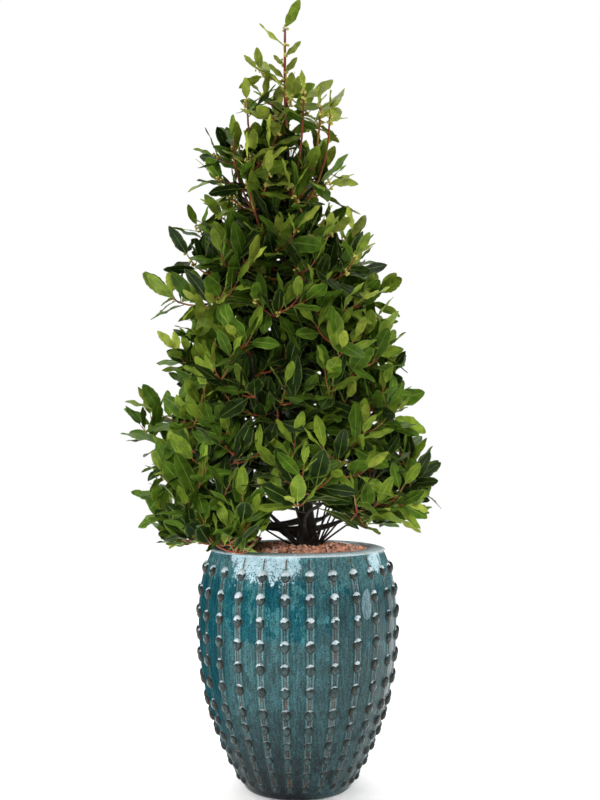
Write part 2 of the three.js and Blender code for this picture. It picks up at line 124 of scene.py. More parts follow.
# Where the glaze changes, in metres: the start and end of each change, by height or across the front.
BRIGHT_FROM = (0.322, 0.352)
POOLS_FROM = (0.330, 0.345)
POOLS_UP_TO = (0.475, 0.445)
# The painted reflection at the upper left of the front, then the milky run at the right:
REFLECTION_LEFT = (-0.124, -0.114)
REFLECTION_RIGHT = (0.006, -0.006)
REFLECTION_FALLS_TO = (0.452, 0.458)
RUN_LEFT = (0.143, 0.148)
RUN_RIGHT = (0.170, 0.164)
RUN_FALLS_TO = (0.462, 0.468)
FRONT_ONLY = (-0.02, -0.06)
# The painted reflection, a pale oval at the right of the front:
PAINTED_OVAL_MIDDLE = (0.1375, 0.404)
PAINTED_OVAL_HALF_SIZE = (0.0108, 0.029)
LIP_FROM = (0.4994, 0.5002)
MOUTH_FROM = (0.5028, 0.5042)

# The glaze's mottle from low to high, and its roughness from the one to the other.
GLAZE_ROUGHNESS = (0.35, 0.65, 0.08, 0.22)

# The way that the side of a knob with its painted highlight and milky glaze faces.
HIGHLIGHT_FACES = (-0.11, 0.0, 0.994)

# The plant, in millimetres, as the part's own rule has it.
TRUNK_FOOT = 500.3
TRUNK_TOP = 1378
TRUNK_PATH = [(20, 0), (12, 5), (-4, -4), (-18, 3), (-25, 0)]
TRUNK_BASE_RADIUS = 15.5
TRUNK_TIP_RADIUS = 4
FLARE = 15
FLARE_HEIGHT = 34
FLARE_LOBES = 5
FLARE_LOBE_DEPTH = 0.28
CROWN_AXIS = (-20, 0)

# At the heights in the first list, how far the crown leans to the side, and how far its outline is drawn in.
LEAN = ([900, 1080, 1260, 1500], [0, -14, -22, -6])
TRIM = ([560, 780, 1100, 1300, 1440], [14, 30, 26, 12, -4])
LUMP = 13
HOLLOW_DEPTH = 150
HOLLOW_SIZE = 90
HOLLOW_LEAST = 0.12
HOLLOW_SHARE = 0.62

# The heading in degrees from the front, the height and the size of each recess in the crown.
HOLLOWS = [(4, 950, 75), (346, 880, 62), (336, 780, 72), (352, 1100, 56), (16, 810, 66), (340, 1180, 50)]
SKIRT_HEIGHT = 620
SKIRT_RADIUS = 325
SKIRT_FOOT = 499
SKIRT_DRAW_IN = 0.45
APEX_HEIGHT = 1520
LEADER_RADIUS = 66
LEADER_TIP = 1601
CROWN_TOP = 1663
RIM_CLEARANCE = 7

# The heading, height and distance from the crown's axis of each shoot that stands out of the outline.
LONG_SHOOTS = [
    (266, 785, 372), (96, 672, 326), (172, 900, 338), (262, 1082, 320),
    (44, 1120, 272), (278, 1352, 194), (84, 1424, 142), (344, 570, 250),
    (334, 576, 262), (322, 570, 282), (316, 552, 204), (258, 548, 192),
    (336, 560, 288), (308, 566, 306), (36, 590, 250), (48, 584, 270),
    (272, 1160, 262), (258, 808, 364), (90, 905, 268), (94, 680, 336),
    (264, 830, 356), (268, 945, 296), (265, 640, 336), (276, 1060, 290),
    (92, 1015, 252), (90, 1074, 262), (270, 1542, 116), (86, 880, 262),
    (88, 700, 316), (98, 648, 290), (266, 1210, 232), (292, 1300, 196),
]
LONG_SHOOT_REACH = 100

# How far in and down from that place the shoot's own tip lies, under its last leaf.
LONG_SHOOT_LEAF = (58, 26)

# Each tier of masses: its name, masses, top, lowest bough's foot, the step between feet, and first heading.
TIERS = [
    ("skirt", 6, 770, 520, 11, 18),
    ("lower", 5, 1000, 600, 14, 52),
    ("middle", 4, 1205, 770, 20, 20),
    ("upper", 3, 1395, 985, 24, 62),
]

# The heading, distance and height of the tip of each bare upright shoot.
UPRIGHT_SHOOTS = [
    (306, 92, 1432), (296, 108, 1352), (44, 112, 1412), (54, 122, 1396), (26, 96, 1440), (326, 112, 1300),
]
UPRIGHT_RISE = 200
UPRIGHT_STRAIGHT = 150
UPRIGHT_THICKER = (0.7, 0.8)
UPRIGHT_LEAVES = 3
UPRIGHT_REACH = 60
UPRIGHT_BARE = 0.88

# How much wider apart shoots stand in a mass, by the first word of its name.
SPARSE = {"upper": 1.24, "leader": 1.48}
TIER_SLOPE = 0.8
BOUGH_REACH = 0.34
BOUGH_RADIUS = 7.5
BOUGH_TIP_RADIUS = 4.2
BOUGH_SAG = 0.1
STEM_REACH = 0.66
STEM_TIP_RADIUS = 2.3
LEADER_STEM_RADIUS = 4.2
LEADER_STEM_TIP_RADIUS = 2.7
BRANCH_RADIUS = 2.9
BRANCH_TIP_RADIUS = 1.7
TWIG_RADIUS = 2.3
TWIG_TIP_RADIUS = 1.2
SHOOT_SAG = 0.24
RISE_WISHED = 0.45
RISE_WEIGHT = 1.3
SHOOT_BEND_AT = 0.6
BRANCH_SPACING = 0.155
BRANCH_DEPTHS = (70, 100)
OUTER_DEPTHS = (30, 58)
OUTER_REACH = 22
INNER_DEPTHS = (105, 140)
INNER_SPACING = 1.45
SHORTEST_SHOOT = 26
LEAF_STEP = 19
MOST_LEAVES = 9
BARE_END = 118

# Where on a stem, bough, branch or basal stem the next wood may leave it, and where it is tested for room.
STEM_JOINTS = (0.2, 0.35, 0.5, 0.65, 0.8, 0.95)
BOUGH_JOINTS = (0.55, 0.75, 0.95)
BRANCH_JOINTS = (0.35, 0.55, 0.75, 0.95)
BRANCH_TESTS = (0.4, 0.7, 0.9)
SHOOT_TESTS = (0.3, 0.6, 0.9)
BASAL_JOINTS = (0.55, 0.7, 0.85, 0.97)
BASAL_TESTS = (0.5, 0.7, 0.85, 1)

# The heading, half width and height of each gap between the skirt's foot and the rim.
OPEN_FOOT = [(12, 20, 606), (48, 22, 546), (320, 30, 517), (98, 30, 556), (180, 50, 590)]
OPEN_FOOT_BLEND = 8
BASAL_STEMS = 3
BASAL_FEET = (17, 31)
BASAL_ENDS = ((110, 270), (600, 740))
BASAL_RADIUS = 2.2
BASAL_TIP_RADIUS = 1.4
LIMB_MARGIN = 3
GOLDEN_ANGLE = 137.5

# A leaf's size and its pitch, from its shoot's foot to its tip, and how far chance changes them.
LEAF_SIZES = (1.08, 0.62)
LEAF_SIZE_CHANCE = (0.84, 1.12)
LEAF_PITCHES = (74, 34)
LEAF_PITCH_CHANCE = (0.75, 1.2)
LEAF_LIFT_CHANCE = (-0.18, 0.22)
LAST_LEAF_PITCH = 8
LAST_LEAF_PITCH_STEP = 9
LEAF_ATTEMPTS = 6
STALK_LEAST = 5
STALK_SHARE = 0.04
SMALL_FROM = 1380
SMALL_OVER = 200
SMALL_SIZE = 0.72

# Buds come only above a height, and more of them over the height above it.
BUDS_FROM = 930
BUDS_OVER = 400
BUD_CHANCE = (-0.05, 0.8)

# The least and most of what the numbers of a leaf's shape do to its blade.
BLADE_BREADTH = (0.86, 1.12)
BLADE_TEETH = (0.01, 0.06)
BLADE_FOLD = (0.10, 0.42)
BLADE_DROOP = (-0.10, 0.24)
BLADE_TWIST = (-0.5, 0.5)
BLADE_WAVE = 0.16

# How much younger leaves look by their height: partly younger growth near the top, partly painted light
# brightening the top and darkening the lower crown.
LIGHT_AND_YOUTH_BY_HEIGHT = ((560, 820, 1150, 1300, 1430), (-0.11, -0.06, 0.03, 0.32, 0.54))

# The values from which, and up to which, a leaf has each tint, by how young it looks with its painted light
# and shade.
LEAF_TINTS = [("deep", -9, 0.12), ("grown", 0.12, 0.48), ("fresh", 0.48, 0.80), ("young", 0.80, 9)]

# The height, heading, pitch and length of each leaf on the leader.
LEADER_LEAVES = [
    (1601, 68, 60, 64),
    (1564, 268, 42, 70),
    (1541, 84, 44, 44),
    (1521, 250, 48, 34),
    (1506, 92, 54, 40),
    (1494, 272, 44, 44),
    (1478, 300, 32, 46),
    (1470, 30, 34, 48),
    (1462, 150, 28, 46),
]

LEADER_STALK = 4

# The numbers of a leaf's shape, each from 0 to 1, and those that a leader's leaf has given.
SHAPE = ("breadth", "teeth", "fold", "phase", "droop", "twist")
LEADER_SHAPE = {"breadth": 0.5, "teeth": 0.3, "fold": 0.2, "droop": 0.3, "twist": 0.5}

# The way a leader's leaf faces, and the ways of those that face otherwise, by their heading.
LEADER_FACE = (0.12, -0.8, 0.75)
LEADER_FACES = {268: (0.67, 0.0, 0.74)}

# Half a leaf's width, as a share of its greatest, at shares of its length; and its lines of points across.
LEAF_OUTLINE = [
    (0.04, 0.19), (0.10, 0.42), (0.18, 0.65), (0.27, 0.84), (0.36, 0.95), (0.45, 1.0), (0.54, 0.99),
    (0.63, 0.94), (0.72, 0.84), (0.80, 0.71), (0.88, 0.52), (0.95, 0.31),
]
ACROSS = (-1.0, 0.0, 1.0)
LEAF_CREASE = 70
MIDRIB_PLACES = [0.0, 0.22, 0.45, 0.68, 0.9]

# The number of rings and sides of each kind of limb.
TRUNK_RINGS, TRUNK_SIDES = 170, 22
BOUGH_RINGS, BOUGH_SIDES = 36, 12
INNER_TWIG_STEPS, INNER_TWIG_SIDES = 10, 7
YOUNG_TWIG_STEPS, YOUNG_TWIG_SIDES = 6, 5

# The viewpoint, in metres, and the lens.
EYE = (0.0, -2.4, 0.72)
FOCAL_LENGTH = 51.0
VIEW_SHIFT = (0.0029, 0.0563)

# The soft sky's way and spread. Then each lamp's place, size, power, the height it aims at, and its spread.
SKY_WAY, SKY_SPREAD = (-0.1, 0.2, 1.0), 75
LAMPS = {
    "left_front": ((-2.0, -2.5, 2.1), 1.2, 6, 0.8, 180),
    "left_side": ((-2.8, -0.2, 1.8), 1.8, 80, 0.8, 180),
    "right_side": ((2.8, 0.0, 1.8), 1.8, 84, 0.8, 180),
    "low_front": ((-0.5, -3.2, 0.95), 1.2, 2.7, 0.24, 18),
}
MIRRORED_LAMP = "left_front"
FLOOR_HALF = 6
FLOOR_DROP = 0.0005
FLOOR_GLOW = 0.14


# ---- Settings ----


def length(name, about, default):
    return bpy.props.FloatProperty(name=name, description=about, default=default, unit="LENGTH", precision=4)


def amount(name, about, default):
    return bpy.props.FloatProperty(name=name, description=about, default=default)


def whole(name, about, default):
    return bpy.props.IntProperty(name=name, description=about, default=default)


def colour(name, about, default):
    return bpy.props.FloatVectorProperty(
        name=name, description=about, default=default, size=3, subtype="COLOR", min=0, max=1
    )


class PlanterSettings(bpy.types.PropertyGroup):
    columns: whole("Columns", "Columns of knobs round the wall", 26)
    knob_radius: length("Knob radius", "Half the width of a knob in the upper rows", 0.0099)
    knob_height: length("Knob height", "How far a knob stands out of the wall", 0.0078)
    strap_height: length("Strap height", "How far the bands between knobs stand out", 0.0012)
    teal: colour("Teal", "The glaze where it lies even", (0.021, 0.110, 0.121))
    deep: colour("Deep teal", "The glaze where it pools", (0.001, 0.056, 0.076))
    # The pale glaze also colours the painted reflections under the lip and the painted highlights on the
    # knobs and straps.
    pale: colour("Pale glaze", "The glaze where it floats milky", (0.50, 0.67, 0.74))
    bare: colour("Thin glaze", "The brown body that shows where the glaze thins", (0.052, 0.027, 0.014))


class GranuleSettings(bpy.types.PropertyGroup):
    size: length("Granule size", "Width of a clay granule", 0.0090)
    spacing: length("Spacing", "Least distance between granules", 0.0069)
    seed: whole("Seed", "Seed of the granules' places", 5)
    clay: colour("Clay", "Red clay of the granules", (0.88, 0.39, 0.24))


class FoliageSettings(bpy.types.PropertyGroup):
    shoot_spacing: length("Shoot spacing", "Distance between shoots over the outside of the crown", 0.0625)
    leaf_length: length("Leaf length", "Length of a grown leaf's blade", 0.079)
    leaf_width: amount("Leaf width", "Width as a share of length", 0.41)
    leaf_thickness: length("Leaf thickness", "Thickness at the midrib", 0.0009)
    bud_radius: length("Bud radius", "Half the width of a flower bud", 0.0028)
    seed: whole("Seed", "Seed of shoots and leaves", 24)
    # These tints follow how young a leaf looks, with painted light by height and painted shade on inner
    # shoots and in the crown's hollows; the deep tint falls mostly there as painted shade.
    young: colour("Young leaf", "Leaves at the shoots' tips", (0.240, 0.310, 0.042))
    fresh: colour("Fresh leaf", "Leaves near the tips", (0.130, 0.207, 0.020))
    grown: colour("Grown leaf", "Leaves along the outer shoots", (0.050, 0.109, 0.009))
    deep: colour("Deep leaf", "Leaves of the inner shoots", (0.011, 0.027, 0.005))
    midrib: colour("Midrib", "Midribs and leaf stalks", (0.34, 0.37, 0.065))
    bud: colour("Bud", "Flower buds", (0.50, 0.45, 0.10))
    twig: colour("Young twig", "Bark of the young shoots", (0.245, 0.052, 0.020))


class BarkSettings(bpy.types.PropertyGroup):
    relief: length("Bark relief", "Depth of the bark's furrows", 0.0011)
    bark: colour("Bark", "Bark of the trunk and boughs", (0.020, 0.015, 0.011))


class StageSettings(bpy.types.PropertyGroup):
    floor: colour("Floor", "The pale floor", (0.92, 0.92, 0.91))
    sky_light: amount("Sky light", "Strength of the soft light above", 3.2)
    surround: amount("Surround", "Light from all round", 0.13)
    backdrop: amount("Backdrop", "Brightness seen behind the plant", 1.0)


# ---- Vectors, curves and chance ----


def stream(seed):
    """A seeded stream of numbers from 0 to 1, the one that the part's source uses."""
    state = seed & 0xFFFFFFFF

    def draw():
        nonlocal state
        state = (state + 0x6D2B79F5) & 0xFFFFFFFF
        t = ((state ^ (state >> 15)) * (state | 1)) & 0xFFFFFFFF
        t ^= (t + (((t ^ (t >> 7)) * (t | 61)) & 0xFFFFFFFF)) & 0xFFFFFFFF
        return ((t ^ (t >> 14)) & 0xFFFFFFFF) / 4294967296

    return draw


def lerp(a, b, t):
    return a + (b - a) * t


def limited(value):
    """A share kept from 0 to 1."""
    return min(1.0, max(0.0, value))


def tinted(colour, *factors):
    """A colour with its channels multiplied by one factor, or by one each."""
    return tuple(c * f for c, f in zip(colour, factors * 3 if len(factors) == 1 else factors))


def toward(colour, other, share):
    """A colour moved a share of the way to another, or to one level of grey."""
    others = (other,) * 3 if isinstance(other, float) else other
    return tuple(lerp(c, o, share) for c, o in zip(colour, others))


def unit(v):
    return v / max(np.linalg.norm(v), 1e-9)


def turned_about(v, axis, angle):
    """v turned about a unit axis."""
    return (
        v * math.cos(angle)
        + np.cross(axis, v) * math.sin(angle)
        + axis * np.dot(axis, v) * (1 - math.cos(angle))
    )


def bend(a, b, c, t):
    """A point of the quadratic curve from a by b to c, or its points where t is an array."""
    t = np.asarray(t, float)[..., None]
    return a * (1 - t) ** 2 + b * 2 * t * (1 - t) + c * t**2


def bend_heading(a, b, c, t):
    """The way that curve runs at a share of its length."""
    return unit((b - a) * (1 - t) + (c - b) * t)


def trunk_point(t):
    """A point of the trunk's smooth path through its named places."""
    count = len(TRUNK_PATH) - 1
    points = [
        np.array((x, y, lerp(TRUNK_FOOT, TRUNK_TOP, i / count))) for i, (x, y) in enumerate(TRUNK_PATH)
    ]
    points = [2 * points[0] - points[1], *points, 2 * points[-1] - points[-2]]
    span = min(int(t * count), count - 1)
    u = t * count - span
    a, b, c, d = points[span : span + 4]
    return 0.5 * (2 * b + (c - a) * u + (2 * a - 5 * b + 4 * c - d) * u**2 + (3 * b - a - 3 * c + d) * u**3)


def trunk_radius(t, angle=0.0):
    """The trunk's radius at a share of its height, with the lobes of its root flare."""
    spread = FLARE * math.exp(-t * (TRUNK_TOP - TRUNK_FOOT) / FLARE_HEIGHT)
    lobes = 1 + FLARE_LOBE_DEPTH * math.cos(FLARE_LOBES * angle)
    return lerp(TRUNK_BASE_RADIUS, TRUNK_TIP_RADIUS, t**0.9) + spread * lobes


# ---- Meshes ----


def finished(name, mesh, materials, replaced=()):
    """The object of a finished mesh, riding on the plant's one body."""
    piece = bpy.data.objects.new(name, mesh)
    bpy.context.scene.collection.objects.link(piece)
    mesh.materials.clear()
    for material in materials:
        mesh.materials.append(material)
    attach(piece, BODY)
    if replaced:
        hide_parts(*replaced)
    return piece


def mesh_of(name, points, faces, slots=None):
    """A smooth mesh from points in millimetres and a list of arrays of faces, each with one corner count."""
    mesh = bpy.data.meshes.new(name)
    corners = np.concatenate([np.asarray(f, np.int32).reshape(-1) for f in faces])
    counts = np.concatenate([np.full(len(f), len(f[0]), np.int32) for f in faces])
    mesh.vertices.add(len(points))
    mesh.vertices.foreach_set("co", (np.asarray(points, np.float32) * MM).reshape(-1))
    mesh.loops.add(len(corners))
    mesh.loops.foreach_set("vertex_index", corners)
    mesh.polygons.add(len(counts))
    mesh.polygons.foreach_set("loop_start", np.concatenate([[0], np.cumsum(counts)[:-1]]).astype(np.int32))
    mesh.polygons.foreach_set("use_smooth", np.full(len(counts), True))
    if slots is not None:
        mesh.polygons.foreach_set("material_index", np.asarray(slots, np.int32))
    mesh.update(calc_edges=True)
    mesh.validate()
    return mesh


def keep(mesh, name, values):
    """Keeps a number for each point of a mesh under a name that a material reads."""
    data = mesh.attributes.new(name, "FLOAT", "POINT").data
    data.foreach_set("value", np.ascontiguousarray(values, np.float32))


def repeated(faces, count, each):
    """The faces of one shape, for so many copies of it with so many points each."""
    offsets = (np.arange(count) * each)[:, None, None]
    return (faces[None] + offsets).reshape(-1, faces.shape[1])


def furrows(point):
    """The long furrows of bark at a point."""
    place = Vector(point)
    long = noise.noise(Vector((place.x * 0.30, place.y * 0.30, place.z * 0.035)))
    fine = noise.noise(Vector((place.x * 0.55, place.y * 0.55, place.z * 0.16)) + Vector((40, 0, 0)))
    return long + 0.5 * fine


def tube_rings(centres, radii, sides, relief):
    """Rings of points round a path, with a radius for each ring or point, and furrows of a depth."""
    headings = np.gradient(centres, axis=0)
    headings /= np.linalg.norm(headings, axis=1)[:, None]
    radii = np.broadcast_to(np.reshape(radii, (len(centres), -1)), (len(centres), sides))
    side = np.array((1.0, 0, 0)) if abs(headings[0][0]) < 0.9 else np.array((0, 1.0, 0))
    rings = []
    for centre, along, row in zip(centres, headings, radii):
        side = unit(side - along * np.dot(side, along))
        other = np.cross(along, side)
        for k, radius in enumerate(row):
            angle = 2 * math.pi * k / sides
            outward = side * math.cos(angle) + other * math.sin(angle)
            shift = relief * furrows(centre + outward * radius) if relief else 0.0
            rings.append(centre + outward * (radius + shift))
    return np.array(rings)


def tube_faces(rings, sides):
    """Faces of a closed tube: its quads, and a fan of triangles on each end."""

    def at(ring, k):
        return ring * sides + k % sides

    last = rings - 1
    quads = [
        (at(i, k), at(i, k + 1), at(i + 1, k + 1), at(i + 1, k)) for i in range(last) for k in range(sides)
    ]
    caps = [(at(0, 0), at(0, k + 1), at(0, k)) for k in range(1, sides - 1)]
    caps += [(at(last, 0), at(last, k), at(last, k + 1)) for k in range(1, sides - 1)]
    return np.array(quads), np.array(caps)


class Heap:
    """Many small solids gathered into one mesh."""

    def __init__(self):
        self.points = []
        self.faces = {}
        self.count = 0

    def add(self, points, *faces):
        for group in faces:
            self.faces.setdefault(len(group[0]), []).append(np.asarray(group) + self.count)
        self.points.append(points)
        self.count += len(points)

    def tube(self, centres, radii, sides, relief=0.0):
        """Adds a closed tube round a path."""
        self.add(tube_rings(centres, radii, sides, relief), *tube_faces(len(centres), sides))

    def rod(self, curve, start_radius, end_radius, steps, sides):
        """Adds a tapering rod along a quadratic curve."""
        places = np.linspace(0, 1, steps + 1)
        self.tube(bend(*curve, places), lerp(start_radius, end_radius, places), sides)

    def mesh(self, name):
        faces = [np.concatenate(groups) for groups in self.faces.values()]
        return mesh_of(name, np.concatenate(self.points), faces)


# ---- Node trees ----


class Tree:
    """Short words for wiring a node tree."""

    def __init__(self, tree):
        self.tree = tree

    def link(self, source, target):
        self.tree.links.new(source, target)

    def put(self, target, value):
        """Gives an input a plain value, or a link where the value is another node's output."""
        if isinstance(value, bpy.types.NodeSocket):
            self.link(value, target)
        else:
            target.default_value = value

    def node(self, kind, inputs=None, **settings):
        """A node with its settings, and its inputs by their names or numbers."""
        made = self.tree.nodes.new(kind)
        for key, value in settings.items():
            setattr(made, key, value)
        for key, value in (inputs or {}).items():
            self.put(made.inputs[key], value)
        return made

    def math(self, operation, a, b=0.0):
        return self.node("ShaderNodeMath", {0: a, 1: b}, operation=operation).outputs[0]

    def times(self, first, *others):
        for other in others:
            first = self.math("MULTIPLY", first, other)
        return first

    def plus(self, a, b):
        return self.math("ADD", a, b)

    def less(self, a, b):
        return self.math("SUBTRACT", a, b)

    def swing(self, noise_value, size):
        """A noise about one half, as a shift about nought."""
        return self.times(self.less(noise_value, 0.5), size)

    def ramp(self, value, low, high, to_low=0.0, to_high=1.0):
        inputs = dict(enumerate((value, low, high, to_low, to_high)))
        return self.node("ShaderNodeMapRange", inputs, interpolation_type="SMOOTHSTEP").outputs[0]

    def mix(self, share, a, b):
        a, b = ((*c, 1) if isinstance(c, tuple) else c for c in (a, b))
        inputs = {"Factor": share, "A": a, "B": b}
        return self.node("ShaderNodeMix", inputs, data_type="RGBA").outputs["Result"]

    def noise(self, vector, scale, detail=3.0, roughness=0.55):
        inputs = {"Vector": vector, "Scale": scale, "Detail": detail, "Roughness": roughness}
        return self.node("ShaderNodeTexNoise", inputs).outputs["Fac"]

    def upright_noise(self, vector, fineness, scale, detail, roughness):
        """Noise drawn out along the height, which counts by its own fineness."""
        inputs = {0: vector, 1: (1, 1, fineness)}
        drawn_out = self.node("ShaderNodeVectorMath", inputs, operation="MULTIPLY").outputs[0]
        return self.noise(drawn_out, scale, detail, roughness)

    def place(self):
        return self.node("ShaderNodeTexCoord").outputs["Object"]

    def split(self, vector):
        return self.node("ShaderNodeSeparateXYZ", {0: vector}).outputs

    def kept(self, name):
        """A number kept on the mesh's points."""
        return self.node("ShaderNodeAttribute", attribute_name=name).outputs["Fac"]

    def scaled(self, vector, factor):
        return self.node("ShaderNodeVectorMath", {0: vector, "Scale": factor}, operation="SCALE").outputs[0]

    def bump(self, height, distance, strength):
        inputs = {"Height": height, "Distance": distance, "Strength": strength}
        return self.node("ShaderNodeBump", inputs).outputs["Normal"]


def new_material(name):
    """A material with an empty tree but for its Principled shader."""
    material = bpy.data.materials.new(name)
    material.use_nodes = True
    tree = Tree(material.node_tree)
    shader = material.node_tree.nodes["Principled BSDF"]
    return material, tree, shader


def coat(tree, shader, colour, roughness, relief=None):
    """Gives a shader its colour, its roughness and, where it has one, its relief."""
    tree.put(shader.inputs["Base Color"], colour)
    tree.put(shader.inputs["Roughness"], roughness)
    if relief is not None:
        tree.link(relief, shader.inputs["Normal"])


def shine(tree, shader, level, plain_level):
    """A specular level that changes over the surface, with the plain one that the export keeps."""
    shader.inputs["Specular IOR Level"].default_value = plain_level
    tree.link(level, shader.inputs["Specular IOR Level"])


def mottle_group():
    """Shader group: two sizes of soft noise, and their mix, over a surface."""
    known = bpy.data.node_groups.get("Mottle")
    if known:
        return known
    group = bpy.data.node_groups.new("Mottle", "ShaderNodeTree")
    group.interface.new_socket(name="Place", in_out="INPUT", socket_type="NodeSocketVector")
    for name, default in (("Broad", 18.0), ("Fine", 160.0)):
        socket = group.interface.new_socket(name=name, in_out="INPUT", socket_type="NodeSocketFloat")
        socket.default_value = default
    for name in ("Patches", "Grain", "Both"):
        group.interface.new_socket(name=name, in_out="OUTPUT", socket_type="NodeSocketFloat")
    tree = Tree(group)
    given = tree.node("NodeGroupInput")
    result = tree.node("NodeGroupOutput")
    patches = tree.noise(given.outputs["Place"], given.outputs["Broad"])
    grain = tree.noise(given.outputs["Place"], given.outputs["Fine"], 4.0, 0.65)
    tree.link(patches, result.inputs["Patches"])
    tree.link(grain, result.inputs["Grain"])
    tree.link(tree.plus(tree.times(patches, 0.6), tree.times(grain, 0.4)), result.inputs["Both"])
    return group


def mottle(tree, place, broad, fine):
    """The mottle group's patches, grain and both, with their finenesses."""
    inputs = {"Place": place, "Broad": broad, "Fine": fine}
    return tree.node("ShaderNodeGroup", inputs, node_tree=mottle_group()).outputs


# ---- Materials ----


class Glaze:
    """The layers of colour of the wall's glaze, with its painted reflections, light and shade, and the noises
    that break up their edges.
    """

    def __init__(self, tree, settings):
        self.tree = tree
        place = tree.place()
        self.x, self.y, self.z = tree.split(place)
        self.patches, self.grain, self.both = mottle(tree, place, 24.0, 330.0)
        self.blots = tree.upright_noise(place, 0.7, 21.0, 7.0, 0.68)
        self.mottles = tree.upright_noise(place, 0.42, 72.0, 6.0, 0.74)
        self.clouds = tree.upright_noise(place, 0.6, 48.0, 6.0, 0.72)
        self.hairs = tree.upright_noise(place, 0.08, 250.0, 3.0, 0.6)
        self.runs = tree.upright_noise(place, 0.12, 42.0, 4.0, 0.6)
        self.veins = tree.upright_noise(place, 5.0, 60.0, 3.0, 0.6)
        self.flecks = tree.noise(place, 300.0, 2.0, 0.55)
        self.teal = tuple(settings.teal)
        self.deep = tuple(settings.deep)
        self.pale = tuple(settings.pale)
        self.bare = tuple(settings.bare)
        self.grey = toward(self.teal, (0.033, 0.043, 0.045), 0.68)
        self.high = tree.plus(self.z, tree.swing(self.blots, 0.20))

    def body(self):
        """Dark at the foot, greyish in the middle, bright and misty from the shoulder up."""
        tree = self.tree
        foot = tinted(self.grey, 0.34, 0.19, 0.21)
        lifted = toward(self.grey, toward(self.teal, self.pale, 0.055), 0.7)
        middle = tree.mix(tree.ramp(self.mottles, 0.36, 0.64), self.grey, lifted)
        low = tree.mix(tree.ramp(self.high, 0.0, 0.33), foot, middle)
        vivid = tinted(self.teal, 1.9, 1.42, 1.42)
        bright = tree.mix(tree.ramp(self.mottles, 0.40, 0.58), tinted(self.teal, 0.9), vivid)
        mist = toward(self.grey, self.pale, 0.16)
        misty = tree.mix(tree.ramp(self.clouds, 0.51, 0.59, 0.0, 0.6), bright, mist)
        return tree.mix(tree.ramp(self.high, *BRIGHT_FROM), low, misty)

    def pooled(self, under):
        """Paler under the lip, with deep blue pools down to the shoulder."""
        tree = self.tree
        sage = toward(self.teal, self.pale, 0.20)
        cloudy = tree.ramp(self.clouds, 0.44, 0.54, 0.35, 1.0)
        topped = tree.mix(tree.times(tree.ramp(self.z, 0.425, 0.475, 0.12, 0.6), cloudy), under, sage)
        clear_top = tree.mix(tree.ramp(self.z, 0.34, 0.38), under, topped)
        band = tree.times(tree.ramp(self.high, *POOLS_FROM), tree.ramp(self.z, *POOLS_UP_TO, 0.35, 1.0))
        spots = tree.ramp(tree.plus(self.clouds, tree.times(self.blots, 0.5)), 0.715, 0.745)
        return tree.mix(tree.times(band, spots, 0.9), clear_top, self.deep)

    def sided(self, under):
        """Greyer in patches to the right, and a painted dark reflection, broken into streaks, down the left.
        """
        tree = self.tree
        painted_dark_edge = (0.005, 0.040, 0.052)
        greyer = tree.mix(tree.ramp(self.z, 0.40, 0.47), tinted(self.grey, 1.1), tinted(self.grey, 1.9))
        dull = tree.times(tree.ramp(self.x, 0.0, 0.07), tree.ramp(self.patches, 0.38, 0.45), 0.8)
        dulled = tree.mix(dull, under, greyer)
        # Darker down the left edge, and in streaks there: a painted dark reflection.
        shade = tree.times(tree.ramp(self.x, -0.13, -0.175, 0.0, 0.8), tree.ramp(self.z, 0.47, 0.41))
        streaks = tree.times(tree.ramp(self.runs, 0.46, 0.52), tree.ramp(self.z, 0.49, 0.44, 0.3, 1.0))
        left = tree.times(tree.ramp(self.x, -0.12, -0.16), streaks, 0.85)
        return tree.mix(left, tree.mix(shade, dulled, painted_dark_edge), painted_dark_edge)

    def milk_and_reflection(self):
        """A painted reflection of a lamp, broadly at the upper left under the lip, and milky glaze run down
        from the lip in one run at the right.
        """
        tree = self.tree
        ragged = tree.plus(tree.swing(self.blots, 0.10), tree.swing(self.mottles, 0.07))
        across = tree.plus(self.x, ragged)
        height = tree.plus(self.z, ragged)
        strayed = tree.plus(self.x, tree.times(ragged, 0.35))
        # The broad patch is a painted reflection; the narrow one is the milky run.
        broad = tree.times(
            tree.ramp(across, *REFLECTION_LEFT), tree.ramp(across, *REFLECTION_RIGHT), tree.ramp(height, *REFLECTION_FALLS_TO)
        )
        narrow = tree.times(
            tree.ramp(strayed, *RUN_LEFT), tree.ramp(strayed, *RUN_RIGHT), tree.ramp(height, *RUN_FALLS_TO)
        )
        reflection_and_run = tree.times(tree.math("MAXIMUM", broad, narrow), tree.ramp(self.y, *FRONT_ONLY))
        thinning = tree.ramp(self.z, 0.452, 0.494, -0.08, 0.05)
        return tree.times(reflection_and_run, tree.ramp(tree.plus(self.flecks, thinning), 0.36, 0.45))

    def painted_reflection_oval(self):
        """A painted reflection: the pale oval at the right of the front."""
        tree = self.tree
        squares = []
        for value, middle, half in zip((self.x, self.z), PAINTED_OVAL_MIDDLE, PAINTED_OVAL_HALF_SIZE):
            squares.append(tree.math("POWER", tree.math("DIVIDE", tree.less(value, middle), half), 2.0))
        return tree.times(tree.ramp(tree.plus(*squares), 1.2, 0.9), tree.ramp(self.y, 0.0, -0.05))

    def lip(self):
        return self.tree.times(
            self.tree.ramp(self.z, *LIP_FROM), self.tree.ramp(self.veins, 0.36, 0.46, 0.72, 1.0)
        )

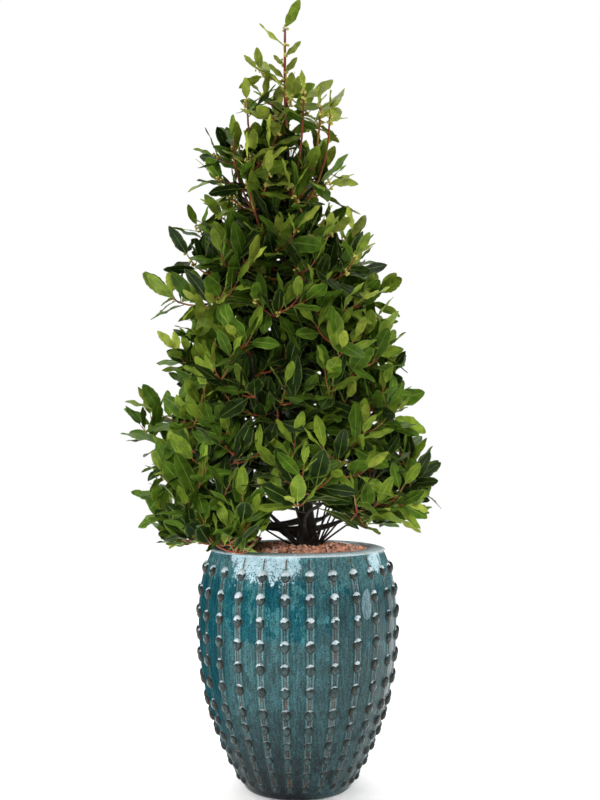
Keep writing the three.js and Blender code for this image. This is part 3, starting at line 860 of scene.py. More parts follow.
    def with_milk_and_reflections(self, under, milk_and_reflection, lip):
        """Milky glaze and painted reflections over the wall, and milky glaze on the lip, bluer inside the
        mouth.
        """
        tree = self.tree
        reflected_and_milky = tree.math("MAXIMUM", tree.times(milk_and_reflection, 0.86), tree.times(self.painted_reflection_oval(), 0.27))
        thinner = tinted(self.pale, 0.66, 0.76, 0.78)
        toned = tree.mix(tree.ramp(self.mottles, 0.36, 0.56), thinner, self.pale)
        inside = tree.times(tree.ramp(self.z, *MOUTH_FROM), tree.ramp(self.x, 0.02, -0.10, 0.1, 0.8))
        rimmed = tree.mix(inside, toward(self.pale, (0.84, 0.94, 1.0), 0.7), (0.13, 0.33, 0.40))
        return tree.mix(lip, tree.mix(reflected_and_milky, under, toned), rimmed)

    def scored(self, under):
        """Painted light on the straps' edges, painted shade beside them, and the brown body where the scores
        are worn thin.
        """
        tree = self.tree
        frontal = tree.ramp(tree.math("ABSOLUTE", self.x), 0.19, 0.12, 0.35, 1.0)
        lit = tree.times(tree.kept("edge"), frontal, tree.ramp(self.z, 0.02, 0.25, 0.20, 0.62))
        painted_lit_edges = tree.mix(lit, under, toward((0.03, 0.11, 0.11), self.pale, 0.24))
        shaded = tree.mix(tree.times(tree.kept("shade"), 0.62), painted_lit_edges, tinted(self.teal, 0.4))
        worn = tree.ramp(tree.times(tree.kept("thin"), tree.plus(self.grain, 0.45)), 0.40, 0.62)
        rusty = tree.mix(tree.ramp(self.mottles, 0.44, 0.60), self.bare, tinted(self.bare, 2.6))
        return tree.mix(tree.times(worn, 0.92), shaded, rusty)

    def uneven(self, under, milk_and_reflection, lip):
        """Speckled and hairy brightness, calmer where milky glaze and painted reflections lie and on the lip,
        and a painted shadow down the right.
        """
        tree = self.tree
        fine = tree.ramp(self.grain, 0.38, 0.64, 0.66, 1.34)
        speckle = tree.times(fine, tree.ramp(self.hairs, 0.36, 0.64, 0.74, 1.22))
        calmed = tree.ramp(tree.math("MAXIMUM", milk_and_reflection, lip), 0.0, 1.0, 1.0, 0.35)
        even = tree.plus(tree.times(tree.less(speckle, 1.0), calmed), 1.0)
        shadow = tree.times(tree.ramp(self.x, 0.02, 0.12, 0.0, 0.24), tree.ramp(self.z, 0.45, 0.40))
        return tree.scaled(under, tree.times(even, tree.less(1.0, shadow)))


def glaze_material(settings):
    """Teal glaze that floats milky under the lip, with painted reflections there, pools blue below it and
    dulls to the foot, with painted light and shade on its straps and sides.
    """
    material, tree, shader = new_material("teal_glaze")
    glaze = Glaze(tree, settings)
    milk_and_reflection = glaze.milk_and_reflection()
    lip = glaze.lip()
    with_milk_and_reflections = glaze.with_milk_and_reflections(glaze.sided(glaze.pooled(glaze.body())), milk_and_reflection, lip)
    coloured = glaze.uneven(glaze.scored(with_milk_and_reflections), milk_and_reflection, lip)
    ripple = tree.plus(tree.times(glaze.mottles, 0.5), tree.times(glaze.grain, 0.2))
    coat(tree, shader, coloured, tree.ramp(glaze.both, *GLAZE_ROUGHNESS), tree.bump(ripple, 0.0022, 0.6))
    shine(tree, shader, tree.ramp(glaze.x, -0.17, -0.06, 0.0, 0.12), 0.10)
    return material


def clay_material(settings):
    """Unglazed red clay, lighter and darker from one granule to the next."""
    material, tree, shader = new_material("clay_granules")
    patches, grain, _ = mottle(tree, tree.place(), 130.0, 900.0)
    dark = tinted(settings.clay, 0.18)
    uneven = tree.plus(tree.kept("tone"), tree.swing(patches, 0.8))
    toned = tree.mix(tree.ramp(uneven, 0.02, 0.55), dark, tuple(settings.clay))
    lifted = tree.mix(tree.ramp(uneven, 0.62, 1.05), toned, toward(settings.clay, 0.90, 0.5))
    coloured = tree.mix(tree.ramp(grain, 0.60, 0.75, 0.0, 0.35), lifted, dark)
    coat(tree, shader, coloured, 0.86, tree.bump(grain, 0.0006, 0.6))
    return material


def bark_material(settings):
    """Grey-brown bark with long dark furrows and pale flecks."""
    material, tree, shader = new_material("bay_bark")
    place = tree.place()
    cracks = tree.upright_noise(place, 0.22, 260.0, 5.0, 0.65)
    patches, grain, _ = mottle(tree, place, 60.0, 700.0)
    toned = tree.mix(tree.ramp(cracks, 0.38, 0.58), tinted(settings.bark, 0.40), tuple(settings.bark))
    flecked = tree.mix(tree.ramp(patches, 0.55, 0.72, 0.0, 0.6), toned, toward(settings.bark, 0.34, 0.16))
    coat(tree, shader, flecked, 0.82, tree.bump(tree.plus(cracks, tree.times(grain, 0.3)), 0.0012, 0.8))
    return material


def twig_material(settings):
    """Red-brown skin of a young shoot, greener here and there."""
    material, tree, shader = new_material("young_twig")
    patches, grain, _ = mottle(tree, tree.place(), 30.0, 500.0)
    green = toward(settings.twig, settings.midrib, 0.55)
    toned = tree.mix(tree.ramp(patches, 0.50, 0.66, 0.0, 0.7), tuple(settings.twig), green)
    specked = tree.mix(tree.ramp(grain, 0.55, 0.7, 0.0, 0.5), toned, tinted(settings.twig, 0.45))
    coat(tree, shader, specked, 0.55, tree.bump(grain, 0.0004, 0.5))
    return material


def leaf_material(name, tint, under=False):
    """Leathery leaf, mottled a little, with a paler margin; the underside is paler and duller."""
    material, tree, shader = new_material(name)
    patches, grain, _ = mottle(tree, tree.place(), 55.0, 420.0)
    base = toward(tint, (0.16, 0.23, 0.08), 0.34) if under else tuple(tint)
    dark = tinted(base, 0.74)
    toned = tree.mix(tree.ramp(patches, 0.36, 0.64), dark, tinted(base, 1.32, 1.20, 1.05))
    reach = tree.kept("reach")
    line = tree.math("MAXIMUM", tree.ramp(reach, 0.84, 0.97), tree.ramp(reach, 0.10, 0.03))
    lined = tree.mix(tree.times(line, 0.4), toned, toward(base, (0.34, 0.42, 0.09), 0.6))
    coloured = tree.mix(tree.ramp(grain, 0.5, 0.72, 0.0, 0.2), lined, dark)
    rough = (0.52, 0.64) if under else (0.32, 0.46)
    coat(tree, shader, coloured, tree.ramp(patches, 0.35, 0.65, *rough), tree.bump(patches, 0.0006, 0.3))
    shader.inputs["Specular IOR Level"].default_value = 0.10
    return material


def midrib_material(settings):
    """Midribs and stalks: yellow-green on a young leaf or one with painted light, nearer the blade's green on
    an old leaf or one with painted shade.
    """
    material, tree, shader = new_material("midrib_skin")
    patches = mottle(tree, tree.place(), 70.0, 600.0)["Patches"]
    old = toward(settings.midrib, settings.grown, 0.62)
    toned = tree.mix(tree.ramp(tree.kept("youth"), 0.1, 0.85), old, tuple(settings.midrib))
    coat(tree, shader, tree.mix(tree.ramp(patches, 0.35, 0.65, 0.0, 0.3), toned, old), 0.5)
    return material


def bud_material(settings):
    """Yellow flower buds, a little uneven."""
    material, tree, shader = new_material("bud_skin")
    patches, grain, _ = mottle(tree, tree.place(), 70.0, 600.0)
    toned = tree.mix(tree.ramp(patches, 0.35, 0.65), tinted(settings.bud, 0.76), tinted(settings.bud, 1.22))
    coat(tree, shader, toned, 0.45, tree.bump(grain, 0.0003, 0.4))
    return material


# ---- Planter ----


def wall_radius(z):
    """Outer radius of the planter's wall at a height."""
    above = z > BELLY_HEIGHT
    span = PLANTER_HEIGHT - BELLY_HEIGHT if above else BELLY_HEIGHT
    share = abs(z - BELLY_HEIGHT) / span
    inset = RIM_INSET * share**RIM_POWER if above else FOOT_INSET * share**FOOT_POWER
    return BELLY_RADIUS - inset


def knob_rows():
    """Height and size share of each row of knobs, from the top."""
    rows = []
    z = TOP_ROW_HEIGHT
    for row in range(UPPER_ROWS + LOWER_ROWS):
        if row:
            z -= UPPER_GAP if row < UPPER_ROWS else LOWER_GAP
        shrink = max(0, row - UPPER_ROWS + 1) / LOWER_ROWS
        rows.append((z, lerp(1.0, KNOB_SHRINK_AT_FOOT, shrink)))
    return rows


def dip(offset, width):
    """One at no offset, falling smoothly to nought over a width."""
    return math.exp(-((offset / width) ** 2))


def rounded_step(a, b, value):
    """Nought up to a and one from b on, with a smooth rise between."""
    t = limited((value - a) / (b - a))
    return t * t * (3 - 2 * t)


def wall_relief(offset, z, radius, rows, strap):
    """Rise of the wall at an offset from a column's line, how thin its glaze is there, and the painted light
    and painted shade that its colour takes there.
    """
    top = rows[0][0]
    if z > top + SHORT_SCORE_ABOVE:
        ends = rounded_step(WALL_TOP, WALL_TOP - 4, z)
        cut = dip(offset, SHORT_SCORE_WIDTH) * ends
        # Painted light at one side of a short score, and painted shade in it.
        lit, shaded = 0.8 * dip(offset - 3.0, 1.2) * ends, 0.7 * dip(offset, 1.9) * ends
        return -SHORT_SCORE_DEPTH * cut, 1.25 * cut, lit, shaded
    near = max(dip(z - height, KNOB_REACH) for height, _ in rows)
    u = abs(offset) / (0.42 + 0.58 * radius / BELLY_RADIUS) / (1 + STRAP_SWELL * near)
    fade = rounded_step(top + 4, top - 4, z) * rounded_step(12, 26, z)
    score = dip(u - SCORE_AT, SCORE_WIDTH)
    edge = STRAP_HALF_WIDTH
    rise = strap * (rounded_step(edge + 1.6, edge - 1.6, u) - SCORE_DEPTH * score)
    # Painted light on the strap's raised edges and on the ridge between its scores, and painted shade just
    # outside the strap.
    lit = rounded_step(3.4, 4.6, u) * rounded_step(edge + 0.6, edge - 1.4, u) + 0.6 * dip(u, 1.0)
    return fade * rise, fade * score, fade * lit, fade * dip(u - edge - 2.0, 1.5)


def unevenness(x, y, z):
    """The slow waviness of a hand-pressed wall."""
    return sum(rise * noise.noise(Vector((x, y, z)) * fineness) for rise, fineness in WALL_WAVES)


def wall_rings():
    """Radius and height of each ring of the wall, and whether it has straps: up the outside, over and in."""
    rim = wall_radius(WALL_TOP)
    heights = np.linspace(FOOT_ROUND, WALL_TOP, int((WALL_TOP - FOOT_ROUND) / RING_STEP))
    rings = [(wall_radius(0) - 5, 0, False), (wall_radius(0) - 1.2, 1.2, False)]
    rings += [(wall_radius(z), z, True) for z in heights]
    rings += [(rim + out, z, False) for out, z in LIP_OVER]
    rings += [(LIP_INNER_RADIUS + out, z, False) for out, z in LIP_INTO]
    rings += [(MOUTH_RADIUS + 1, CREST - 14, False)]
    return rings + [(wall_radius(z) - WALL, z, False) for z in [*INNER_HEIGHTS, FLOOR]]


def wall_faces(rings, count):
    """Quads between the wall's rings, and fans that close its foot and its floor."""
    quads = []
    for i in range(rings - 1):
        here, above = i * count, (i + 1) * count
        for k in range(count):
            following = (k + 1) % count
            quads.append((here + k, here + following, above + following, above + k))
    base, floor, top = rings * count, rings * count + 1, (rings - 1) * count
    fans = [(base, (k + 1) % count, k) for k in range(count)]
    fans += [(floor, top + k, top + (k + 1) % count) for k in range(count)]
    return np.array(quads), np.array(fans)


def planter_wall(settings):
    """The turned wall with its straps, scores and lip, and the marks that its glaze reads: thin glaze,
    painted light and painted shade.
    """
    columns = settings.columns
    strap = settings.strap_height / MM
    shares = [-s for s in COLUMN_SHARES[:0:-1]] + COLUMN_SHARES + [1.0]
    half = math.pi / columns
    around = [(half * (2 * c + 1 + s), s * half) for c in range(columns) for s in shares]
    rows = knob_rows()
    rings = wall_rings()
    plain = (0.0, 0.0, 0.0, 0.0)
    points, marks = [], []
    for radius, z, ribbed in rings:
        for azimuth, turn in around:
            rise, *mark = wall_relief(turn * radius, z, radius, rows, strap) if ribbed else plain
            if ribbed:
                calm = min(1.0, (WALL_TOP - z) / 30, z / 30)
                rise += calm * unevenness(math.sin(azimuth) * radius, -math.cos(azimuth) * radius, z)
            points.append((math.sin(azimuth) * (radius + rise), -math.cos(azimuth) * (radius + rise), z))
            marks.append((0.8, 0.0, 0.0) if z == LIP_EDGE else mark)
    points += [(0, 0, 0), (0, 0, FLOOR)]
    marks += [(0.0, 0.0, 0.0)] * 2
    mesh = mesh_of("planter_wall", points, wall_faces(len(rings), len(around)))
    # The thin mark is worn glaze; the edge mark is painted light and the shade mark painted shade, on the
    # straps and the short scores.
    for name, values in zip(("thin", "edge", "shade"), np.array(marks).T):
        keep(mesh, name, values)
    return mesh


def evaluated(name, seed_mesh, tree, inputs):
    """A plain mesh of what a Geometry Nodes tree makes of a mesh."""
    holder = bpy.data.objects.new(name, seed_mesh)
    bpy.context.scene.collection.objects.link(holder)
    modifier = holder.modifiers.new("build", "NODES")
    modifier.node_group = tree
    named = {s.name: s.identifier for s in tree.interface.items_tree if s.item_type == "SOCKET"}
    for key, value in inputs.items():
        modifier[named[key]] = value
    graph = bpy.context.evaluated_depsgraph_get()
    result = bpy.data.meshes.new_from_object(holder.evaluated_get(graph))
    holder.modifiers.clear()
    bpy.data.objects.remove(holder)
    bpy.data.meshes.remove(seed_mesh)
    result.name = name
    return result


def geometry_tree(name, inputs):
    """An empty Geometry Nodes tree with a mesh in, a mesh out and the given inputs."""
    group = bpy.data.node_groups.new(name, "GeometryNodeTree")
    group.interface.new_socket(name="Geometry", in_out="INPUT", socket_type="NodeSocketGeometry")
    for label, kind, default in inputs:
        socket = group.interface.new_socket(name=label, in_out="INPUT", socket_type=f"NodeSocket{kind}")
        if default is not None:
            socket.default_value = default
    group.interface.new_socket(name="Geometry", in_out="OUTPUT", socket_type="NodeSocketGeometry")
    tree = Tree(group)
    return tree, tree.node("NodeGroupInput").outputs, tree.node("NodeGroupOutput").inputs


def ending(tree, instances, result, material, after=None):
    """Realized instances, smooth, with their material."""
    made = tree.node("GeometryNodeRealizeInstances", {0: instances}).outputs[0]
    if after:
        made = after(made)
    smooth = tree.node("GeometryNodeSetShadeSmooth", {"Geometry": made}).outputs[0]
    coated = tree.node("GeometryNodeSetMaterial", {"Geometry": smooth, "Material": material})
    tree.link(coated.outputs[0], result[0])


def attribute(tree, name, kind):
    """Values kept on a mesh's points, read by a Geometry Nodes tree."""
    return tree.node("GeometryNodeInputNamedAttribute", {"Name": name}, data_type=kind).outputs["Attribute"]


def stored(tree, geometry, name, domain, value):
    """The geometry with a number kept on it under a name."""
    inputs = {"Geometry": geometry, "Name": name}
    made = tree.node("GeometryNodeStoreNamedAttribute", inputs, data_type="FLOAT", domain=domain)
    tree.link(value, next(s for s in made.inputs if s.name == "Value" and s.enabled))
    return made.outputs[0]


def knob_tree():
    """Geometry Nodes: a dome on each point, facing out of the wall, with its height kept for the painted
    shade and thin glaze round its foot.
    """
    tree, given, result = geometry_tree(
        "Knobs",
        [("Radius", "Float", 0.0096), ("Height", "Float", 0.0078), ("Tall", "Float", 1.16),
         ("Finish", "Material", None)],
    )
    dome = tree.node("GeometryNodeMeshUVSphere", {"Segments": 12, "Rings": 6, "Radius": 1.0})
    height = tree.split(tree.node("GeometryNodeInputPosition").outputs[0])["Z"]
    marked = stored(tree, dome.outputs["Mesh"], "rise", "POINT", height)
    long = tree.times(given["Radius"], given["Tall"])
    size = tree.node("ShaderNodeCombineXYZ", {"X": given["Radius"], "Y": long, "Z": given["Height"]})
    shaped = tree.node("GeometryNodeTransform", {"Geometry": marked, "Scale": size.outputs[0]})
    ways = {
        "Primary Axis": attribute(tree, "facing", "FLOAT_VECTOR"),
        "Secondary Axis": attribute(tree, "upward", "FLOAT_VECTOR"),
    }
    turned = tree.node("FunctionNodeAxesToRotation", ways, primary_axis="Z", secondary_axis="Y")
    placed = tree.node("GeometryNodeInstanceOnPoints", {
        "Points": given["Geometry"], "Instance": shaped.outputs[0],
        "Rotation": turned.outputs[0], "Scale": attribute(tree, "share", "FLOAT"),
    })
    ending(tree, placed.outputs[0], result, given["Finish"])
    return tree.tree


def knob_points(settings):
    """A mesh of bare points, one at the foot of each knob, with the way it faces and its size share."""
    points, facing, upward, share = [], [], [], []
    for z, size in knob_rows():
        slope = (wall_radius(z + 2) - wall_radius(z - 2)) / 4
        for column in range(settings.columns):
            azimuth = math.pi / settings.columns * (2 * column + 1)
            out = Vector((math.sin(azimuth), -math.cos(azimuth), 0))
            radius = wall_radius(z) - KNOB_SUNK
            points.append((out.x * radius, out.y * radius, z))
            facing.append(Vector((out.x, out.y, -slope)).normalized())
            upward.append(Vector((out.x * slope, out.y * slope, 1)).normalized())
            share.append(size)
    mesh = bpy.data.meshes.new("knob_points")
    mesh.from_pydata([Vector(p) * MM for p in points], [], [])
    for name, values in (("facing", facing), ("upward", upward)):
        data = mesh.attributes.new(name, "FLOAT_VECTOR", "POINT").data
        data.foreach_set("vector", np.array(values, np.float32).reshape(-1))
    keep(mesh, "share", share)
    return mesh


def knob_material(settings):
    """The glaze on the knobs: a painted highlight with milky glaze on top, grey-brown where it thins below,
    and painted shade with thin glaze round the foot.
    """
    material, tree, shader = new_material("knob_glaze")
    place = tree.place()
    x, _, z = tree.split(place)
    patches, grain, both = mottle(tree, place, 90.0, 420.0)
    grey = tinted(toward(settings.teal, (0.05, 0.062, 0.060), 0.55), 0.8)
    body = tree.mix(tree.ramp(patches, 0.42, 0.56), tinted(grey, 0.42), grey)
    brown = tree.mix(tree.ramp(grain, 0.54, 0.62, 0.0, 0.6), body, tuple(settings.bare))
    # Darker brown round the knob's foot: painted shade where it meets the wall, with thin glaze.
    rimmed = tree.mix(tree.ramp(tree.kept("rise"), 0.80, 0.38, 0.0, 0.9), brown, tinted(settings.bare, 0.5))
    # The cap is a painted highlight, partly milky glaze: it faces the light, and shrinks lower down and
    # towards the sides.
    facing = tree.node("ShaderNodeNewGeometry").outputs["Normal"]
    facing_light = tree.node("ShaderNodeVectorMath", {0: facing, 1: HIGHLIGHT_FACES}, operation="DOT_PRODUCT")
    ragged = tree.plus(tree.swing(patches, 1.1), tree.swing(grain, 0.5))
    least = tree.ramp(z, 0.46, 0.20, 0.24, 0.50)
    sideways = tree.ramp(tree.math("ABSOLUTE", x), 0.12, 0.20, 0.0, 0.42)
    over = tree.less(tree.plus(facing_light.outputs["Value"], ragged), tree.plus(least, sideways))
    highlight_cap = tree.times(tree.ramp(over, 0.0, 0.05), tree.ramp(z, 0.08, 0.34, 0.25, 1.0), 0.96)
    white = toward(settings.pale, 0.80, 0.4)
    cream = tree.mix(tree.ramp(grain, 0.42, 0.58), tinted(white, 0.70), white)
    milk_and_reflection = tree.mix(tree.ramp(grain, 0.60, 0.68, 0.0, 0.5), cream, (0.50, 0.26, 0.17))
    coloured = tree.mix(highlight_cap, rimmed, milk_and_reflection)
    coat(tree, shader, coloured, tree.ramp(both, *GLAZE_ROUGHNESS), tree.bump(grain, 0.0012, 0.7))
    shine(tree, shader, tree.ramp(z, 0.04, 0.34, 0.16, 0.36), 0.26)
    return material


# ---- Granules ----


def granule_bed(size):
    """The top of the fill as an open grid of rings, a little under the granules' middles."""
    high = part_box("granule_fill")[1].z / MM + GRANULE_BED_RISE
    steps, sides = 18, 72
    points = [(0, 0, high)]
    reach = LIP_INNER_RADIUS - size / MM * 0.55
    for i in range(1, steps + 1):
        radius = reach * i / steps
        z = high - GRANULE_BED_FALL * max(0.0, radius / reach - 0.35) ** 1.6
        for k in range(sides):
            angle = 2 * math.pi * k / sides
            x, y = math.cos(angle) * radius, math.sin(angle) * radius
            points.append((x, y, z + GRANULE_BED_JOLT * noise.noise(Vector((x, y, 9.0)) * 0.09)))

    def at(i, k):
        return 1 + (i - 1) * sides + k % sides

    middle = [(0, at(1, k), at(1, k + 1)) for k in range(sides)]
    quads = [
        (at(i, k), at(i + 1, k), at(i + 1, k + 1), at(i, k + 1))
        for i in range(1, steps)
        for k in range(sides)
    ]
    return mesh_of("granule_bed", points, [np.array(middle), np.array(quads)])


def granule_tree():
    """Geometry Nodes: clay granules scattered over a surface, each turned and sized by a seed."""
    tree, given, result = geometry_tree(
        "Granules",
        [("Size", "Float", 0.009), ("Spacing", "Float", 0.006), ("Seed", "Int", 5),
         ("Finish", "Material", None)],
    )
    spacing = {
        "Mesh": given["Geometry"], "Distance Min": given["Spacing"],
        "Density Max": MOST_GRANULES, "Seed": given["Seed"],
    }
    spread = tree.node("GeometryNodeDistributePointsOnFaces", spacing, distribute_method="POISSON")
    half = tree.times(given["Size"], 0.5)
    lump = tree.node("GeometryNodeMeshUVSphere", {"Segments": 8, "Rings": 5, "Radius": half})

    def chosen(least, most, seed):
        """Numbers by chance from the least to the most."""
        inputs = {"Min": least, "Max": most, "Seed": seed}
        return tree.node("FunctionNodeRandomValue", inputs, data_type="FLOAT_VECTOR").outputs["Value"]

    placed = tree.node("GeometryNodeInstanceOnPoints", {
        "Points": spread.outputs["Points"], "Instance": lump.outputs["Mesh"],
        "Rotation": chosen((0, 0, 0), (6.28, 6.28, 6.28), given["Seed"]),
        "Scale": chosen((0.62, 0.62, 0.5), (1.25, 1.1, 0.95), tree.plus(given["Seed"], 7.0)),
    })
    tone = tree.node("FunctionNodeRandomValue", {"Seed": tree.plus(given["Seed"], 11.0)}, data_type="FLOAT")
    toned = stored(tree, placed.outputs[0], "tone", "INSTANCE", next(s for s in tone.outputs if s.enabled))

    def roughened(mesh):
        """Uneven lumps: each point moves by a noise of its place."""
        bumps = tree.node("ShaderNodeTexNoise", {"Scale": GRANULE_BUMPS}).outputs["Color"]
        inputs = {0: bumps, 1: (0.5, 0.5, 0.5)}
        shift = tree.node("ShaderNodeVectorMath", inputs, operation="SUBTRACT").outputs[0]
        inputs = {"Geometry": mesh, "Offset": tree.scaled(shift, tree.times(given["Size"], 0.42))}
        return tree.node("GeometryNodeSetPosition", inputs).outputs[0]

    ending(tree, toned, result, given["Finish"], roughened)
    return tree.tree


# ---- The plant's rule ----


def crown_radius(z):
    """The crown's radius at a height: widest over the rim, drawn in below it and rounded to the top."""
    if z < SKIRT_HEIGHT:
        return SKIRT_RADIUS - (SKIRT_HEIGHT - z) * SKIRT_DRAW_IN
    share = max(0.0, APEX_HEIGHT - z) / (APEX_HEIGHT - SKIRT_HEIGHT)
    return max(SKIRT_RADIUS * math.sqrt(share), LEADER_RADIUS)


def outer_radius(azimuth, z):
    """The leafy outline: the crown's, trimmed and a little lumpy."""
    lump = LUMP * noise.noise(Vector((math.sin(azimuth) * 2.2, math.cos(azimuth) * 2.2, z * 0.009)))
    return crown_radius(z) - np.interp(z, *TRIM) + lump


def hollow_at(point):
    """How much deeper shoots end at a point, so that the crown has recesses between its sprays."""
    share = max(0.0, noise.noise(Vector(point) / HOLLOW_SIZE) - HOLLOW_LEAST)
    for heading, height, size in HOLLOWS:
        turn = math.radians(heading)
        middle = crown_point(turn, outer_radius(turn, height), height)
        share = max(share, HOLLOW_SHARE * dip(np.linalg.norm(middle - point), size))
    return HOLLOW_DEPTH * share


def crown_point(azimuth, radius, z):
    """A point of the leaning crown by its heading from the front, distance from the axis and height."""
    across = CROWN_AXIS[0] + np.interp(z, *LEAN)
    return np.array((across + math.sin(azimuth) * radius, CROWN_AXIS[1] - math.cos(azimuth) * radius, z))


class Space:
    """The room of one mass of foliage: a sector of its tier, or all of the crown above the tiers."""

    def __init__(self, name, azimuth, half_width, low, high, foot):
        self.name = name
        self.azimuth = azimuth
        self.half_width = half_width
        self.low = low
        self.high = high
        self.foot = foot

    def edge(self, top, radius):
        """The height of a tier's slanting edge at a distance from the axis."""
        return top + TIER_SLOPE * (radius - crown_radius(top)) if math.isfinite(top) else top

    def height_in(self, radius, share):
        """The height at a share of the way up the room, at a distance from the axis."""
        low = max(self.edge(self.low, radius), SKIRT_FOOT)
        high = min(self.edge(self.high, radius), APEX_HEIGHT)
        return lerp(low, high, share)

    def outside_at(self, share):
        """The crown's radius, and the height, at a share of the way up the room's outside."""
        z = lerp(max(self.low, SKIRT_FOOT), min(self.high, APEX_HEIGHT), share)
        return crown_radius(z), z


def all_spaces():
    """The rooms of all the masses, from the skirt up to the leader."""
    spaces = []
    below = -math.inf
    for name, masses, top, foot, foot_step, heading in TIERS:
        half = math.pi / masses
        for i in range(masses):
            azimuth = math.radians(heading) + 2 * i * half
            bough_foot = foot + foot_step * (i * 2 % masses)
            spaces.append(Space(f"{name}_{i + 1}", azimuth, half, below, top, bough_foot))
        below = top
    spaces.append(Space("leader", 0.0, math.pi, below, math.inf, None))
    return spaces


def bough_bend(space):
    """The three points of a bough's curve."""
    start = trunk_point((space.foot - TRUNK_FOOT) / (TRUNK_TOP - TRUNK_FOOT))
    reach = space.outside_at(0.5)[0] * BOUGH_REACH
    end = crown_point(space.azimuth, reach, space.height_in(reach, 0.5))
    middle = (start + end) / 2 - np.array((0, 0, BOUGH_SAG * np.linalg.norm(end - start)))
    return start, middle, end


def shoot_bend(start, tip):
    """A shoot leaves its parent low and turns up at its tip."""
    middle = lerp(start, tip, SHOOT_BEND_AT) - np.array((0, 0, SHOOT_SAG * np.linalg.norm(tip - start)))
    return start, middle, tip


def limb_samples(spaces):
    """Points along the trunk and boughs with their radii, for keeping leaves and twigs clear of them."""
    found = [(trunk_point(t), trunk_radius(t)) for t in np.linspace(0, 1, 90)]
    for space in spaces:
        if space.foot is not None:
            curve = bough_bend(space)
            for t in np.linspace(0, 1, 16):
                found.append((bend(*curve, t), lerp(BOUGH_RADIUS, BOUGH_TIP_RADIUS, t)))
    return np.array([p for p, _ in found]), np.array([r for _, r in found])


def skirt_foot(point):
    """How low foliage hangs at a point: lower at the sides than at the front and back."""
    azimuth = math.degrees(math.atan2(point[0] - CROWN_AXIS[0], CROWN_AXIS[1] - point[1])) % 360
    foot = SKIRT_FOOT
    for heading, half, height in OPEN_FOOT:
        away = abs((azimuth - heading + 180) % 360 - 180)
        share = limited((half + OPEN_FOOT_BLEND - away) / OPEN_FOOT_BLEND)
        foot = max(foot, lerp(SKIRT_FOOT, height, share))
    return foot


def within_reach(point, reach):
    """True where foliage may be: in the crown, off the planter, over its skirt's foot."""
    away = (point[0] - CROWN_AXIS[0] - np.interp(point[2], *LEAN), CROWN_AXIS[1] - point[1])
    if math.hypot(*away) > outer_radius(math.atan2(*away), point[2]) + reach:
        return False
    if not skirt_foot(point) < point[2] < CROWN_TOP:
        return False
    return math.hypot(point[0], point[1]) > BELLY_RADIUS or point[2] > PLANTER_HEIGHT + RIM_CLEARANCE


